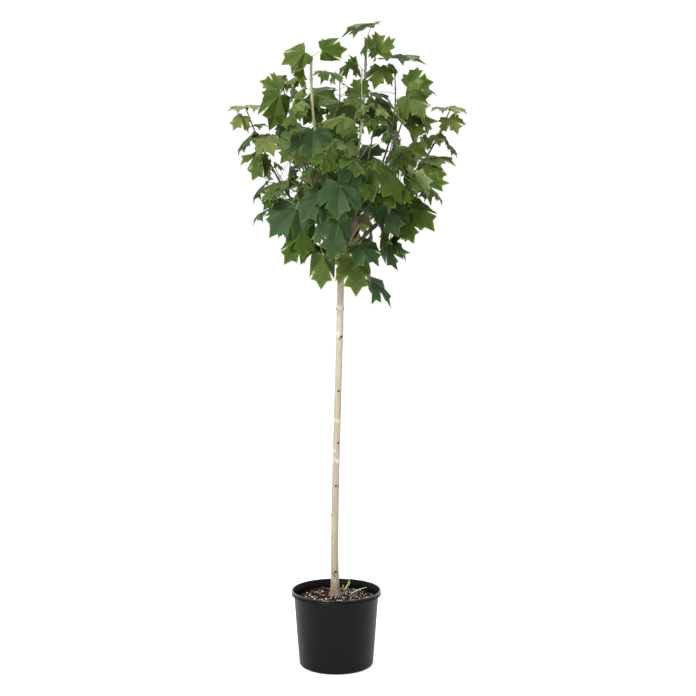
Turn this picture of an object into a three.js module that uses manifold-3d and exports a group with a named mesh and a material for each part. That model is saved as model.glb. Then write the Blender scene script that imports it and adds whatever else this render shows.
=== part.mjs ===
// Potted globe maple: a young standard tree with a bare straight trunk and a round head of leafy shoots,
// in a black nursery pot filled with potting mix. Millimetres, +Z up. The origin is the centre of the pot's
// underside, -Y is the front, and +X is to the right.

import * as THREE from "three";
import { mergeVertices } from "three/addons/utils/BufferGeometryUtils.js";
import Module from "manifold-3d";

const wasm = await Module();
wasm.setup();

// Driving dimensions: fits
const CLEARANCE = 0.3; // left between pieces that rest on each other
const LEAF_CLEARANCE = 0.6; // left between a leaf and everything that does not carry it

// Driving dimensions: pot and potting mix
const POT_HEIGHT = 232;
const POT_BASE_RADIUS = 113;
const POT_CORNER_RADIUS = 8;
const POT_WALL_RADIUS = 129.5; // outside, just under the rim
const POT_WALL = 2;
const POT_FLOOR = 3;
const RIM_RADIUS = 140;
const RIM_HEIGHT = 13;
const RIM_BEAD_RADIUS = 4.5;
const RIM_SLOPE = 15; // from the top of the rim down to where its inside meets the wall
const POT_SEGMENTS = 36;
const SOIL_LEVEL = 208;
const SOIL_SHOULDER = 4; // the mix is rounded off where it meets the pot

// Driving dimensions: trunk
const FORK_HEIGHT = 1296;
const TRUNK_FOOT_X = -2;
const TRUNK_FORK_X = 14.5;
const TRUNK_SWAY_LOW = -10; // the two middle handles of the trunk's slow curve
const TRUNK_SWAY_HIGH = 9;
const TRUNK_FOOT_RADIUS = 11.6;
const TRUNK_FORK_RADIUS = 9.3;
const ROOT_FLARE = 6.5; // added to the radius at the ground
const ROOT_FLARE_HEIGHT = 34;
const HEAD_SWELLING = 2.2; // added to the radius where the shoots leave the trunk
const HEAD_SWELLING_HEIGHT = 60;
const TRUNK_SIDES = 12;
const TRUNK_STEPS = 18;
const TRUNK_CROWDING = 1.5; // above 1 the trunk's rings stand closer together towards its foot

// Driving dimensions: shoots, twigs and leaves
const HEAD_MIDDLE = 230; // height of the middle of the round head above the fork
const BOUGH_SHARE = 0.2; // of a shoot's length is bare bough, and the rest is in its mass
const BOUGH_RADIUS = 5.2;
const BOUGH_SIDES = 6;
const BOUGH_STEPS = 4;
const STEM_RADIUS = 4.2;
const STEM_TIP_RADIUS = 1.6;
const STEM_SIDES = 5;
const STEM_STEPS = 7;
const TWIG_RADIUS = 2.2;
const TWIG_TIP_RADIUS = 1.3;
const TWIG_SHARE = 0.3; // of its shoot's length
const TWIG_LIFT = 0.025; // of the shoot's length, from a node up to the side twig above it
const TWIG_NODES = 2;
const TWIG_LEAF = 0.92; // its blades over those of its shoot
const TWIG_AGE = 0.4; // how far its tip is on from the leaves at its foot to those at the shoot's tip
const TWIG_ANGLE = 50;
const TWIG_TURN = 137.5; // each side twig stands this much further round the stem than the one below it
const THREE_SIDES = 3;
const FIRST_NODE = 0.24; // shares of the shoot's length where its lowest and highest pairs of leaves stand
const LAST_NODE = 0.99;
const PAIR_TURN = 90; // each pair of leaves stands across the pair below it
const PETIOLE_ANGLE = 56;
const PETIOLE_RADIUS = 1.5;
const PETIOLE_FREE = 0.5; // from here out a leaf keeps clear of what it grows from too
const PETIOLE_SAG = 0.45;
const PETIOLE_SHARE_LOW = 0.85; // petiole length over blade length, low and at the tip of a shoot
const PETIOLE_SHARE_TIP = 0.4;
const LIGHT_PULL = 1.3; // how strongly blades turn their faces to the light
const LIGHT = new THREE.Vector3(0, -0.85, 0.53);
const OUTWARD_PULL = 0.7; // how strongly blades turn away from the middle of the head
const DROOP_LOW = 62; // how far the blade hangs below level, low and at the tip of a shoot
const DROOP_TIP = 40;
const BLADE_THICKNESS = 0.028; // of its length, at the thickest place
const BLADE_HEART = 0.25; // where along the midrib that is
const BLADE_FOLD = 0.16; // how far the two halves rise from the midrib
const BLADE_BEND = 0.2; // how far the tips curl down
const JITTER = { angle: 9, length: 0.18, size: 0.14, heading: 40, droop: 18, roll: 36 };
const SPACE_STEPS = 24; // points along a shoot that its distance from a place is measured to
const SPACE_SLACK = 16; // how far a leaf's middle may stray past the boundary of its mass's space
const LEAF_TRIES = 5;
const LEAF_SHRINK = 0.04; // how much smaller each try after the first is
const SEED = 4100;

// Half of a blade's outline, from tip to foot, over its length: across the midrib, then along it
const BLADE_HALF = [
  [0.2, 0.7],
  [0.18, 0.46],
  [0.68, 0.6],
  [0.44, 0.17],
  [0.57, -0.09],
  [0.15, -0.1],
];

// Kinds of shoot: how high the shoot bows on its way, its pairs of leaves, its side twigs, and its blade
// lengths low and at the tip
const LEADER = { bow: 0.42, pairs: 8, twigs: 3, leaf: 108, tipLeaf: 94 };
const RISER = { bow: 0.4, pairs: 7, twigs: 3, leaf: 104, tipLeaf: 92 };
const SIDE_ARM = { bow: 0.36, pairs: 8, twigs: 3, leaf: 86, tipLeaf: 50 };
const ARM = { bow: 0.4, pairs: 7, twigs: 3, leaf: 108, tipLeaf: 76 };
const SPUR = { bow: 0.62, pairs: 5, twigs: 2, leaf: 108, tipLeaf: 84 };
const HANGING_SPUR = { bow: 0.2, pairs: 2, twigs: 0, leaf: 88, tipLeaf: 82 };

// The shoots that make the round head: the tip measured from the fork to the right, back and up, how far
// below the fork the shoot leaves the trunk, and the turn of its lowest pair of leaves
const SHOOTS = [
  { ...LEADER, name: "left_leader", tip: [-94, -115, 590], from: 8, turn: 45 },
  { ...LEADER, name: "centre_leader", tip: [70, -30, 655], from: 4, turn: 0 },
  { ...LEADER, name: "right_leader", tip: [168, 30, 566], from: 14, turn: 0 },
  { ...LEADER, name: "back_leader", tip: [-5, 150, 565], from: 10, turn: 0 },
  { ...RISER, name: "left_riser", tip: [-190, 70, 540], from: 20, turn: 90 },
  { ...RISER, name: "right_riser", tip: [218, -115, 475], from: 24, turn: 90 },
  { ...SIDE_ARM, name: "right_arm", tip: [344, 30, 440], from: 30, turn: 0 },
  { ...SIDE_ARM, name: "left_arm", tip: [-308, 20, 446], from: 28, turn: 0 },
  { ...ARM, name: "front_left_arm", tip: [-135, -255, 385], from: 34, turn: 0 },
  { ...ARM, name: "front_right_arm", tip: [105, -275, 370], from: 40, turn: 45 },
  { ...ARM, name: "back_left_arm", tip: [-160, 250, 400], from: 36, turn: 30 },
  { ...ARM, name: "back_right_arm", tip: [175, 265, 385], from: 42, turn: 50 },
  { ...SPUR, name: "low_left_spur", tip: [-195, -95, 150], from: 50, turn: 60 },
  { ...SPUR, name: "low_right_spur", tip: [240, -60, 165], from: 54, turn: 90 },
  { ...SPUR, name: "low_front_spur", tip: [10, -220, 110], from: 58, turn: 45 },
  { ...SPUR, name: "low_back_spur", tip: [20, 240, 140], from: 62, turn: 45 },
  { ...HANGING_SPUR, name: "hanging_spur", tip: [84, -40, -58], from: 68, turn: 0 },
];

const UP = new THREE.Vector3(0, 0, 1);
const bark = new THREE.MeshStandardMaterial({ color: 0xcfc2ac, roughness: 0.75, metalness: 0 });
const foliage = new THREE.MeshStandardMaterial({ color: 0x54663a, roughness: 0.55, metalness: 0 });
const blackPlastic = new THREE.MeshStandardMaterial({ color: 0x262628, roughness: 0.5, metalness: 0 });
const pottingMix = new THREE.MeshStandardMaterial({ color: 0x4a3c2f, roughness: 0.95, metalness: 0 });

const mix = THREE.MathUtils.lerp;
const radians = THREE.MathUtils.degToRad;

// A stream of numbers from 0 to 1 that is the same for the same seed
function randomFrom(seed) {
  let state = seed >>> 0;
  return () => {
    state = (state + 0x6d2b79f5) >>> 0;
    let t = Math.imul(state ^ (state >>> 15), state | 1);
    t ^= t + Math.imul(t ^ (t >>> 7), t | 61);
    return ((t ^ (t >>> 14)) >>> 0) / 4294967296;
  };
}

// Solids and meshes

function solidFrom(geometry) {
  geometry.deleteAttribute("normal");
  geometry.deleteAttribute("uv");
  const merged = mergeVertices(geometry, 1e-4);
  const vertProperties = new Float32Array(merged.attributes.position.array);
  const triVerts = new Uint32Array(merged.index.array);
  return new wasm.Manifold(new wasm.Mesh({ numProp: 3, vertProperties, triVerts }));
}

function meshFrom(name, solid, material) {
  const { vertProperties, triVerts } = solid.getMesh();
  const geometry = new THREE.BufferGeometry();
  geometry.setAttribute("position", new THREE.BufferAttribute(vertProperties, 3));
  geometry.setIndex(new THREE.BufferAttribute(triVerts, 1));
  geometry.computeVertexNormals();
  const mesh = new THREE.Mesh(geometry, material);
  mesh.name = name;
  return mesh;
}

function geometryFrom(points, triangles) {
  const geometry = new THREE.BufferGeometry().setFromPoints(points);
  geometry.setIndex(triangles.flat());
  return geometry;
}

// The closed skin over a row of rings that all have as many points, anticlockwise as seen from the last ring
function skin(rings) {
  const sides = rings[0].length;
  const last = (rings.length - 1) * sides;
  const triangles = [];
  for (let ring = 0; ring < last; ring += sides) {
    for (let i = 0; i < sides; i++) {
      const [a, b] = [ring + i, ring + ((i + 1) % sides)];
      triangles.push([a, b, b + sides], [a, b + sides, a + sides]);
    }
  }
  for (let i = 1; i < sides - 1; i++) {
    triangles.push([0, i + 1, i], [last, last + i, last + i + 1]);
  }
  return geometryFrom(rings.flat(), triangles);
}

function ring(centre, radius, across, beside, sides) {
  return Array.from({ length: sides }, (_, i) => {
    const angle = (2 * Math.PI * i) / sides;
    return centre
      .clone()
      .addScaledVector(across, radius * Math.cos(angle))
      .addScaledVector(beside, radius * Math.sin(angle));
  });
}

// A level direction square to the given one
function levelAcross(direction) {
  return new THREE.Vector3().crossVectors(direction, UP).normalize();
}

// A limb that tapers along a stretch of a curve, given by shares of the curve's length
function limb(curve, from, to, radiusFrom, radiusTo, sides, steps) {
  const across = levelAcross(curve.getTangentAt(from));
  const rings = [];
  for (let k = 0; k <= steps; k++) {
    const share = mix(from, to, k / steps);
    const along = curve.getTangentAt(share);
    across.addScaledVector(along, -across.dot(along)).normalize();
    const beside = new THREE.Vector3().crossVectors(along, across);
    rings.push(ring(curve.getPointAt(share), mix(radiusFrom, radiusTo, k / steps), across, beside, sides));
  }
  return solidFrom(skin(rings));
}

// Pot and potting mix

function arcPoints(centreX, centreY, radius, fromDegrees, toDegrees, steps) {
  return Array.from({ length: steps + 1 }, (_, i) => {
    const angle = radians(mix(fromDegrees, toDegrees, i / steps));
    return new THREE.Vector2(centreX + radius * Math.cos(angle), centreY + radius * Math.sin(angle));
  });
}

// Inside radius of the pot's wall at a height
function potInside(height) {
  const share = height / (POT_HEIGHT - RIM_HEIGHT);
  return mix(POT_BASE_RADIUS, POT_WALL_RADIUS, share) - POT_WALL;
}

function pot() {
  const beadHeight = POT_HEIGHT - RIM_BEAD_RADIUS;
  const rimFoot = POT_HEIGHT - RIM_HEIGHT;
  const slopeFoot = POT_HEIGHT - RIM_SLOPE;
  const profile = [
    new THREE.Vector2(0, 0),
    ...arcPoints(POT_BASE_RADIUS - POT_CORNER_RADIUS, POT_CORNER_RADIUS, POT_CORNER_RADIUS, -90, 0, 3),
    new THREE.Vector2(POT_WALL_RADIUS, rimFoot),
    new THREE.Vector2(RIM_RADIUS - 1, rimFoot),
    ...arcPoints(RIM_RADIUS - RIM_BEAD_RADIUS, beadHeight, RIM_BEAD_RADIUS, 0, 180, 6),
    new THREE.Vector2(potInside(slopeFoot), slopeFoot),
    new THREE.Vector2(potInside(POT_CORNER_RADIUS), POT_CORNER_RADIUS),
    new THREE.Vector2(POT_BASE_RADIUS - POT_CORNER_RADIUS, POT_FLOOR),
    new THREE.Vector2(0, POT_FLOOR),
  ];
  return latheSolid(profile);
}

function soil() {
  const shoulder = SOIL_LEVEL - SOIL_SHOULDER;
  const profile = [
    new THREE.Vector2(0, POT_FLOOR + CLEARANCE),
    new THREE.Vector2(POT_BASE_RADIUS - POT_CORNER_RADIUS - CLEARANCE, POT_FLOOR + CLEARANCE),
    new THREE.Vector2(potInside(POT_CORNER_RADIUS) - CLEARANCE, POT_CORNER_RADIUS + CLEARANCE),
    new THREE.Vector2(potInside(shoulder) - CLEARANCE, shoulder),
    new THREE.Vector2(potInside(shoulder) - CLEARANCE - 2 * SOIL_SHOULDER, SOIL_LEVEL),
    new THREE.Vector2(0, SOIL_LEVEL),
  ];
  return latheSolid(profile);
}

// LatheGeometry turns a profile about Y, and the pot stands along Z
function latheSolid(profile) {
  return solidFrom(new THREE.LatheGeometry(profile, POT_SEGMENTS).rotateX(Math.PI / 2));
}

// Trunk

const trunkFoot = SOIL_LEVEL + CLEARANCE;
const trunkCurve = new THREE.CubicBezierCurve3(
  new THREE.Vector3(TRUNK_FOOT_X, 0, trunkFoot),
  new THREE.Vector3(TRUNK_SWAY_LOW, 0, mix(trunkFoot, FORK_HEIGHT, 1 / 3)),
  new THREE.Vector3(TRUNK_SWAY_HIGH, 0, mix(trunkFoot, FORK_HEIGHT, 2 / 3)),
  new THREE.Vector3(TRUNK_FORK_X, 0, FORK_HEIGHT),
);

const headMiddle = trunkCurve.getPoint(1).addScaledVector(UP, HEAD_MIDDLE);

function trunkRadius(height) {
  const flare = ROOT_FLARE * Math.exp(-(height - trunkFoot) / ROOT_FLARE_HEIGHT);
  const swelling = HEAD_SWELLING * Math.exp(-(((FORK_HEIGHT - height) / HEAD_SWELLING_HEIGHT) ** 2));
  const share = (height - trunkFoot) / (FORK_HEIGHT - trunkFoot);
  return mix(TRUNK_FOOT_RADIUS, TRUNK_FORK_RADIUS, share) + flare + swelling;
}

// The trunk, or with a growth a skin that lies that far outside it. Rings crowd towards the flare.
function trunk(growth) {
  const [across, beside] = [new THREE.Vector3(1, 0, 0), new THREE.Vector3(0, 1, 0)];
  const rings = [];
  for (let k = 0; k <= TRUNK_STEPS; k++) {
    const centre = trunkCurve.getPoint((k / TRUNK_STEPS) ** TRUNK_CROWDING);
    rings.push(ring(centre, trunkRadius(centre.z) + growth, across, beside, TRUNK_SIDES));
  }
  const crest = trunkCurve.getPoint(1).addScaledVector(UP, TRUNK_FORK_RADIUS / 3 + growth);
  rings.push(ring(crest, TRUNK_FORK_RADIUS / 2, across, beside, TRUNK_SIDES));
  return solidFrom(skin(rings));
}

// Shoots: each runs as one curve from the trunk to its tip, first as a bare bough, then as its mass's stem

function shootCurve({ tip, from, bow }) {
  const start = trunkCurve.getPoint(1).addScaledVector(UP, -from);
  const end = trunkCurve.getPoint(1).add(new THREE.Vector3(...tip));
  const bend = new THREE.Vector3(
    mix(start.x, end.x, 1 - bow),
    mix(start.y, end.y, 1 - bow),
    mix(start.z, end.z, bow),
  );
  return new THREE.QuadraticBezierCurve3(start, bend, end);
}

// The bare foot of a shoot, or with a growth a skin that lies that far outside it
function boughSolid(curve, growth) {
  const [thick, thin] = [BOUGH_RADIUS + growth, STEM_RADIUS + growth];
  return limb(curve, 0, BOUGH_SHARE, thick, thin, BOUGH_SIDES, BOUGH_STEPS);
}

// A side twig that leaves its shoot at a share of its length and climbs
function twigCurve(shoot, share, turn) {
  const start = shoot.getPointAt(share);
  const way = offshoot(shoot.getTangentAt(share), turn, TWIG_ANGLE);
  const length = shoot.getLength() * TWIG_SHARE;
  const bend = start.clone().addScaledVector(way, length / 2);
  const end = bend.clone().addScaledVector(way, length / 3).addScaledVector(UP, length / 4);
  return new THREE.QuadraticBezierCurve3(start, bend, end);
}

// A direction that leaves a stem at an angle to it, on the side that the turn gives
function offshoot(along, turn, angle) {
  const across = levelAcross(along);
  const beside = new THREE.Vector3().crossVectors(across, along);
  return along
    .clone()
    .multiplyScalar(Math.cos(radians(angle)))
    .addScaledVector(across, Math.sin(radians(angle)) * Math.cos(radians(turn)))
    .addScaledVector(beside, Math.sin(radians(angle)) * Math.sin(radians(turn)));
}

// Leaves

// Where a leaf stands and how it hangs. The share, from 0 low on a shoot to 1 at its tip, sets its petiole
// and droop.
function leafPose(curve, place, turn, share, blade, random) {
  const spread = (amount) => amount * (2 * random() - 1);
  const node = curve.getPointAt(place);
  const way = offshoot(curve.getTangentAt(place), turn, PETIOLE_ANGLE + spread(JITTER.angle));
  const size = blade * (1 + spread(JITTER.size));
  const petiole = size * mix(PETIOLE_SHARE_LOW, PETIOLE_SHARE_TIP, share) * (1 + spread(JITTER.length));
  const sagging = way.clone().addScaledVector(UP, -PETIOLE_SAG).normalize();
  const foot = node.clone().addScaledVector(way.add(sagging), petiole / 2);
  const pull = foot.clone().sub(headMiddle).setZ(0).normalize().multiplyScalar(OUTWARD_PULL);
  const heading = Math.atan2(sagging.y + pull.y, sagging.x + pull.x) + radians(spread(JITTER.heading));
  const droop = radians(mix(DROOP_LOW, DROOP_TIP, share) + spread(JITTER.droop));
  const outward = new THREE.Vector3(Math.cos(heading), Math.sin(heading), 0);
  const along = outward.clone().multiplyScalar(Math.cos(droop)).addScaledVector(UP, -Math.sin(droop));
  const face = outward.multiplyScalar(Math.sin(droop)).addScaledVector(UP, Math.cos(droop));
  face.addScaledVector(LIGHT, LIGHT_PULL);
  face.addScaledVector(along, -face.dot(along)).normalize();
  face.applyAxisAngle(along, radians(spread(JITTER.roll)));
  const across = new THREE.Vector3().crossVectors(along, face);
  return { node, foot, along, across, face, size };
}

// A point of a leaf's blade, from its place across and along the midrib and above the blade, over its length
function onBlade({ foot, along, across, face, size }, u, v, above) {
  const lift = above + BLADE_FOLD * Math.abs(u) - BLADE_BEND * (u * u + v * v);
  return foot
    .clone()
    .addScaledVector(across, u * size)
    .addScaledVector(along, v * size)
    .addScaledVector(face, lift * size);
}

// A leaf as one closed skin. The blade is thickest at its heart and sharp round its lobed outline, and the
// three-sided petiole runs from its foot back to the node.
function leafSolid(pose) {
  const tip = onBlade(pose, 0, 1, 0);
  const right = BLADE_HALF.map(([u, v]) => onBlade(pose, u, v, 0));
  const left = BLADE_HALF.map(([u, v]) => onBlade(pose, -u, v, 0));
  const [above, below] = [1, -1].map((side) => onBlade(pose, 0, BLADE_HEART, (side * BLADE_THICKNESS) / 2));
  const way = pose.foot.clone().sub(pose.node).normalize();
  const turning = way.clone().add(pose.along).normalize();
  const [footRight, footUnder, footLeft] = petioleRing(pose, pose.foot, turning);
  const [nodeRight, nodeUnder, nodeLeft] = petioleRing(pose, pose.node, way);
  const edge = [footRight, ...right.reverse(), tip, ...left, footLeft];
  const points = [...edge, footUnder, above, below, nodeRight, nodeUnder, nodeLeft];
  const index = new Map(points.map((point, i) => [point, i]));
  const fan = (heart, rim) => rim.slice(1).map((point, i) => [heart, rim[i], point]);
  const faces = [
    ...fan(above, [...edge, footRight]),
    ...fan(below, [...edge, footUnder, footRight].reverse()),
    [footRight, footLeft, nodeLeft],
    [footRight, nodeLeft, nodeRight],
    [footLeft, footUnder, nodeUnder],
    [footLeft, nodeUnder, nodeLeft],
    [footUnder, footRight, nodeRight],
    [footUnder, nodeRight, nodeUnder],
    [nodeRight, nodeLeft, nodeUnder],
  ];
  return solidFrom(geometryFrom(points, faces.map((face) => face.map((point) => index.get(point)))));
}

// The three corners of the petiole round a point of it, square to a direction: right, under and left
function petioleRing({ across }, centre, direction) {
  const right = across.clone().addScaledVector(direction, -across.dot(direction)).normalize();
  const under = new THREE.Vector3().crossVectors(direction, right);
  const sides = [right, under, right.clone().negate()];
  return sides.map((side) => centre.clone().addScaledVector(side, PETIOLE_RADIUS));
}

// Space: what is already there, and which mass a place belongs to

const placed = [];

function place(solid) {
  const entry = { solid, box: solid.boundingBox() };
  placed.push(entry);
  return entry;
}

function boxesMeet(a, b, gap) {
  return [0, 1, 2].every((i) => a.min[i] - gap < b.max[i] && b.min[i] - gap < a.max[i]);
}

// Whether a solid keeps clear of everything placed so far, leaving out the pieces that it grows from
function isClear(solid, origins) {
  const box = solid.boundingBox();
  return placed.every(
    (other) =>
      origins.includes(other) ||
      !boxesMeet(box, other.box, LEAF_CLEARANCE) ||
      solid.minGap(other.solid, LEAF_CLEARANCE) >= LEAF_CLEARANCE,
  );
}

function distanceTo(curve, point) {
  return Math.min(...curve.getPoints(SPACE_STEPS).map((p) => p.distanceTo(point)));
}

function isOwnSpace(point, mass) {
  const reach = distanceTo(mass.curve, point) - SPACE_SLACK;
  return mass.others.every((other) => distanceTo(other, point) >= reach);
}

// Grows a leaf if one of a few poses is clear of everything and within the mass's own space
function growLeaf({ mass, curve, origins, at, turn, share, blade, seed }) {
  const random = randomFrom(seed);
  for (let attempt = 0; attempt < LEAF_TRIES; attempt++) {
    const pose = leafPose(curve, at, turn, share, blade * (1 - LEAF_SHRINK * attempt), random);
    if (!isOwnSpace(onBlade(pose, 0, BLADE_HEART, 0), mass)) continue;
    const leaf = leafSolid(pose);
    const outerPart = leafSolid({ ...pose, node: pose.node.clone().lerp(pose.foot, PETIOLE_FREE) });
    if (isClear(leaf, origins) && isClear(outerPart, [])) {
      mass.pieces.push(leaf);
      origins.push(place(leaf));
      return;
    }
  }
}

// The pairs of leaves along a stem, each leaf as the place it would grow at. The two leaves of a pair spring
// from one node, so their petioles may touch there.
function leafPairs(mass, curve, carrier, nodes, seed) {
  return nodes.flatMap((node, i) => {
    const origins = [carrier];
    const reach = curve.getPointAt(node.at).distanceTo(headMiddle);
    return [0, 1].map((side) => {
      const turn = node.turn + 180 * side;
      return { ...node, mass, curve, origins, turn, reach, seed: seed + i * 10 + side };
    });
  });
}

function shootNodes(shoot) {
  return Array.from({ length: shoot.pairs }, (_, i) => {
    const share = i / (shoot.pairs - 1);
    const blade = mix(shoot.leaf, shoot.tipLeaf, share);
    return { at: mix(FIRST_NODE, LAST_NODE, share), turn: shoot.turn + PAIR_TURN * i, share, blade };
  });
}

function twigNodes(shoot, low, turn) {
  return Array.from({ length: TWIG_NODES }, (_, i) => {
    const along = (i + 1) / TWIG_NODES;
    const share = mix(low.share, 1, TWIG_AGE * along);
    const blade = TWIG_LEAF * mix(shoot.leaf, shoot.tipLeaf, share);
    return { at: LAST_NODE * along, turn: turn + PAIR_TURN * i, share, blade };
  });
}

// The stem of a mass, which carries its shoot on from the tip of its bough
function stemSolid(curve) {
  const start = BOUGH_SHARE + CLEARANCE / curve.getLength();
  return limb(curve, start, 1, STEM_RADIUS, STEM_TIP_RADIUS, STEM_SIDES, STEM_STEPS);
}

// Grows the side twigs of a mass, and gives the places for leaves on its stem and twigs
function growTwigs(mass, shoot, index) {
  const seed = SEED + index * 1000;
  const nodes = shootNodes(shoot);
  const places = leafPairs(mass, mass.curve, mass.stem, nodes, seed);
  for (let k = 0; k < shoot.twigs; k++) {
    const low = nodes[1 + k];
    const turn = shoot.turn + TWIG_TURN * (k + 0.5);
    const twig = twigCurve(mass.curve, low.at + TWIG_LIFT, turn);
    const solid = limb(twig, 0, 1, TWIG_RADIUS, TWIG_TIP_RADIUS, THREE_SIDES, 2);
    if (!isClear(solid, [mass.stem]) || !isOwnSpace(twig.getPoint(1), mass)) continue;
    const carrier = place(solid);
    mass.pieces.push(solid);
    places.push(...leafPairs(mass, twig, carrier, twigNodes(shoot, low, turn), seed + 500 + k * 100));
  }
  return places;
}

// The masses: every stem, then every side twig, then the leaves, those furthest out first
function growMasses(curves) {
  const masses = curves.map((curve) => {
    const stem = place(stemSolid(curve));
    return { curve, stem, others: curves.filter((other) => other !== curve), pieces: [stem.solid] };
  });
  const places = masses.flatMap((mass, i) => growTwigs(mass, SHOOTS[i], i));
  places.sort((a, b) => b.reach - a.reach);
  places.forEach(growLeaf);
  return masses.map((mass) => wholeBody(wasm.Manifold.union(mass.pieces)));
}

// The largest of a solid's separate skins, so that sealed hollows are filled and loose scraps dropped
function wholeBody(solid) {
  const bodies = solid.decompose();
  return bodies.reduce((largest, body) => (body.volume() > largest.volume() ? body : largest));
}

// The whole tree. Each bough is cut clear of the trunk and of the boughs before it.
function buildTree() {
  const tree = new THREE.Group();
  tree.name = "potted_globe_maple";
  tree.add(meshFrom("pot", pot(), blackPlastic), meshFrom("soil", soil(), pottingMix));
  const trunkSolid = place(trunk(0)).solid;
  tree.add(meshFrom("trunk", trunkSolid, bark));

  const curves = SHOOTS.map(shootCurve);
  let taken = trunk(CLEARANCE);
  SHOOTS.forEach(({ name }, i) => {
    const bough = place(wholeBody(boughSolid(curves[i], 0).subtract(taken))).solid;
    taken = taken.add(boughSolid(curves[i], CLEARANCE));
    tree.add(meshFrom(`${name}_bough`, bough, bark));
  });
  growMasses(curves).forEach((solid, i) => tree.add(meshFrom(`${SHOOTS[i].name}_leaves`, solid, foliage)));
  return tree;
}

const group = buildTree();

export default group;
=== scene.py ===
"""A potted globe maple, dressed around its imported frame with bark, leaves, potting mix and pot plastic.

The file is laid out as an add-on and is run as a script. Metres, +Z up, -Y towards the viewer.
"""

import math
from dataclasses import dataclass, replace
from functools import lru_cache

import bpy
import numpy as np
from bpy.props import FloatProperty, FloatVectorProperty, PointerProperty
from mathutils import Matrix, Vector, noise
from mathutils.bvhtree import BVHTree


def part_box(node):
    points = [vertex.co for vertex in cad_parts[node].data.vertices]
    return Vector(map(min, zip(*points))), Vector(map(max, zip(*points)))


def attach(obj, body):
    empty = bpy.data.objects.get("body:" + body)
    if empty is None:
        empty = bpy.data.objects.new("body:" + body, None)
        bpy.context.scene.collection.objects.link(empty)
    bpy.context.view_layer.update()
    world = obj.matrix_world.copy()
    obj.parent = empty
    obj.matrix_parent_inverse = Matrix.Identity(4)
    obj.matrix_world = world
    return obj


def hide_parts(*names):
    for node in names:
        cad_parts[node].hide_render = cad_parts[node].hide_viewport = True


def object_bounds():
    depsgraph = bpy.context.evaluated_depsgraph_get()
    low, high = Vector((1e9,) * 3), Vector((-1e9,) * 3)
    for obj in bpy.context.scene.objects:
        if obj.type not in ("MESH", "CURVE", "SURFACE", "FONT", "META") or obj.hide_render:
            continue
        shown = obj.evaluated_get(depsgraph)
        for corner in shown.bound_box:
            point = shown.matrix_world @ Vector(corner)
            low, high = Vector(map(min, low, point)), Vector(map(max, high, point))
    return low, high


bl_info = {
    "name": "Potted Globe Maple",
    "version": (1, 0, 0),
    "blender": (4, 5, 0),
    "location": "View3D > Sidebar > Maple",
    "description": "Dresses the packed maple with bark, leaves, potting mix and pot plastic",
    "category": "Object",
}

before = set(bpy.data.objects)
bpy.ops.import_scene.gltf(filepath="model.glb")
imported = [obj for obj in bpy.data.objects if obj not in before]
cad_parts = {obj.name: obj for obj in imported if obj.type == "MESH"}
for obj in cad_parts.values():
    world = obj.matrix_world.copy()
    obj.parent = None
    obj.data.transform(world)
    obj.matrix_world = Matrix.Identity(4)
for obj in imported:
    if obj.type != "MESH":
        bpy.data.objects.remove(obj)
CAD_LOW, CAD_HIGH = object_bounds()
POT_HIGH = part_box("pot")[1]
SOIL_LOW, SOIL_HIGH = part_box("soil")
TRUNK_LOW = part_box("trunk")[0]
UP = np.array((0.0, 0.0, 1.0))

# The photograph's camera, level but for a small pitch, and its picture in pixels
CAMERA_SIDE = 0.0365
CAMERA_DISTANCE = 3.2
CAMERA_HEIGHT = 1.054
AIM_HEIGHT = 0.984
LENS = 53.35
SENSOR = 36.0
PICTURE = 696

# The trunk and how its shoots leave it
FORK_HEIGHT = 1.296
TRUNK_HANDLES = (-0.0035, -0.0105, 0.014, 0.0145)  # sideways, from the foot to the fork
TRUNK_FOOT_RADIUS = 0.0123
TRUNK_FORK_RADIUS = 0.0101
ROOT_FLARE = 0.0065
ROOT_FLARE_HEIGHT = 0.024
HEAD_SWELLING = 0.0022
HEAD_SWELLING_HEIGHT = 0.06
HEAD_MIDDLE = 0.23  # above the fork
BOUGH_SHARE = 0.2  # of a shoot's length, the rest is its stem
BOUGH_RADIUS = 0.0052
STEM_RADIUS = 0.0042
STEM_TIP_RADIUS = 0.0016
LEADER_TIP_RADIUS = 0.0038

# Twigs and leaves: radii and slack in metres, lengths as shares, angles in degrees
TWIG_RADIUS = 0.0022
TWIG_TIP_RADIUS = 0.0013
TWIG_SHARE = 0.3  # of its shoot's length
TWIG_LIFT = 0.025
TWIG_NODES = 2
TWIG_LEAF = 0.92  # of the size of its shoot's leaves
TWIG_AGE = 0.4
TWIG_ANGLE = 50
TWIG_TURN = 137.5
FIRST_NODE = 0.24
LAST_NODE = 0.99
PAIR_TURN = 90
PETIOLE_ANGLE = 56
PETIOLE_FREE = 0.5  # of a petiole may touch what it grows from
PETIOLE_SAG = 0.45
PETIOLE_SHARE_LOW = 0.85  # of the blade's length
PETIOLE_SHARE_TIP = 0.4
LIGHT_PULL = 1.3  # how far blades turn to the light
LIGHT = np.array((0.0, -0.85, 0.53))
OUTWARD_PULL = 0.7  # how far they turn away from the middle of the head
DROOP_LOW = 62
DROOP_TIP = 40
BLADE_HEART = 0.25
BLADE_FOLD = 0.16
BLADE_BEND = 0.2
JITTER = {"angle": 9, "length": 0.18, "size": 0.14, "heading": 40, "droop": 18, "roll": 36}
SPACE_STEPS = 24  # marks on a shoot that part its space from the next one's
SPACE_SLACK = 0.016
LEAF_TRIES = 12  # poses tried, each a little smaller
LEAF_SHRINK = 0.04
SEED = 4100

# A blade's half outline for keeping leaves clear of each other, from the tip to the foot, over its length
CLEAR_HALF = ((0.2, 0.7), (0.18, 0.46), (0.68, 0.6), (0.44, 0.17), (0.57, -0.09), (0.15, -0.1))

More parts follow.
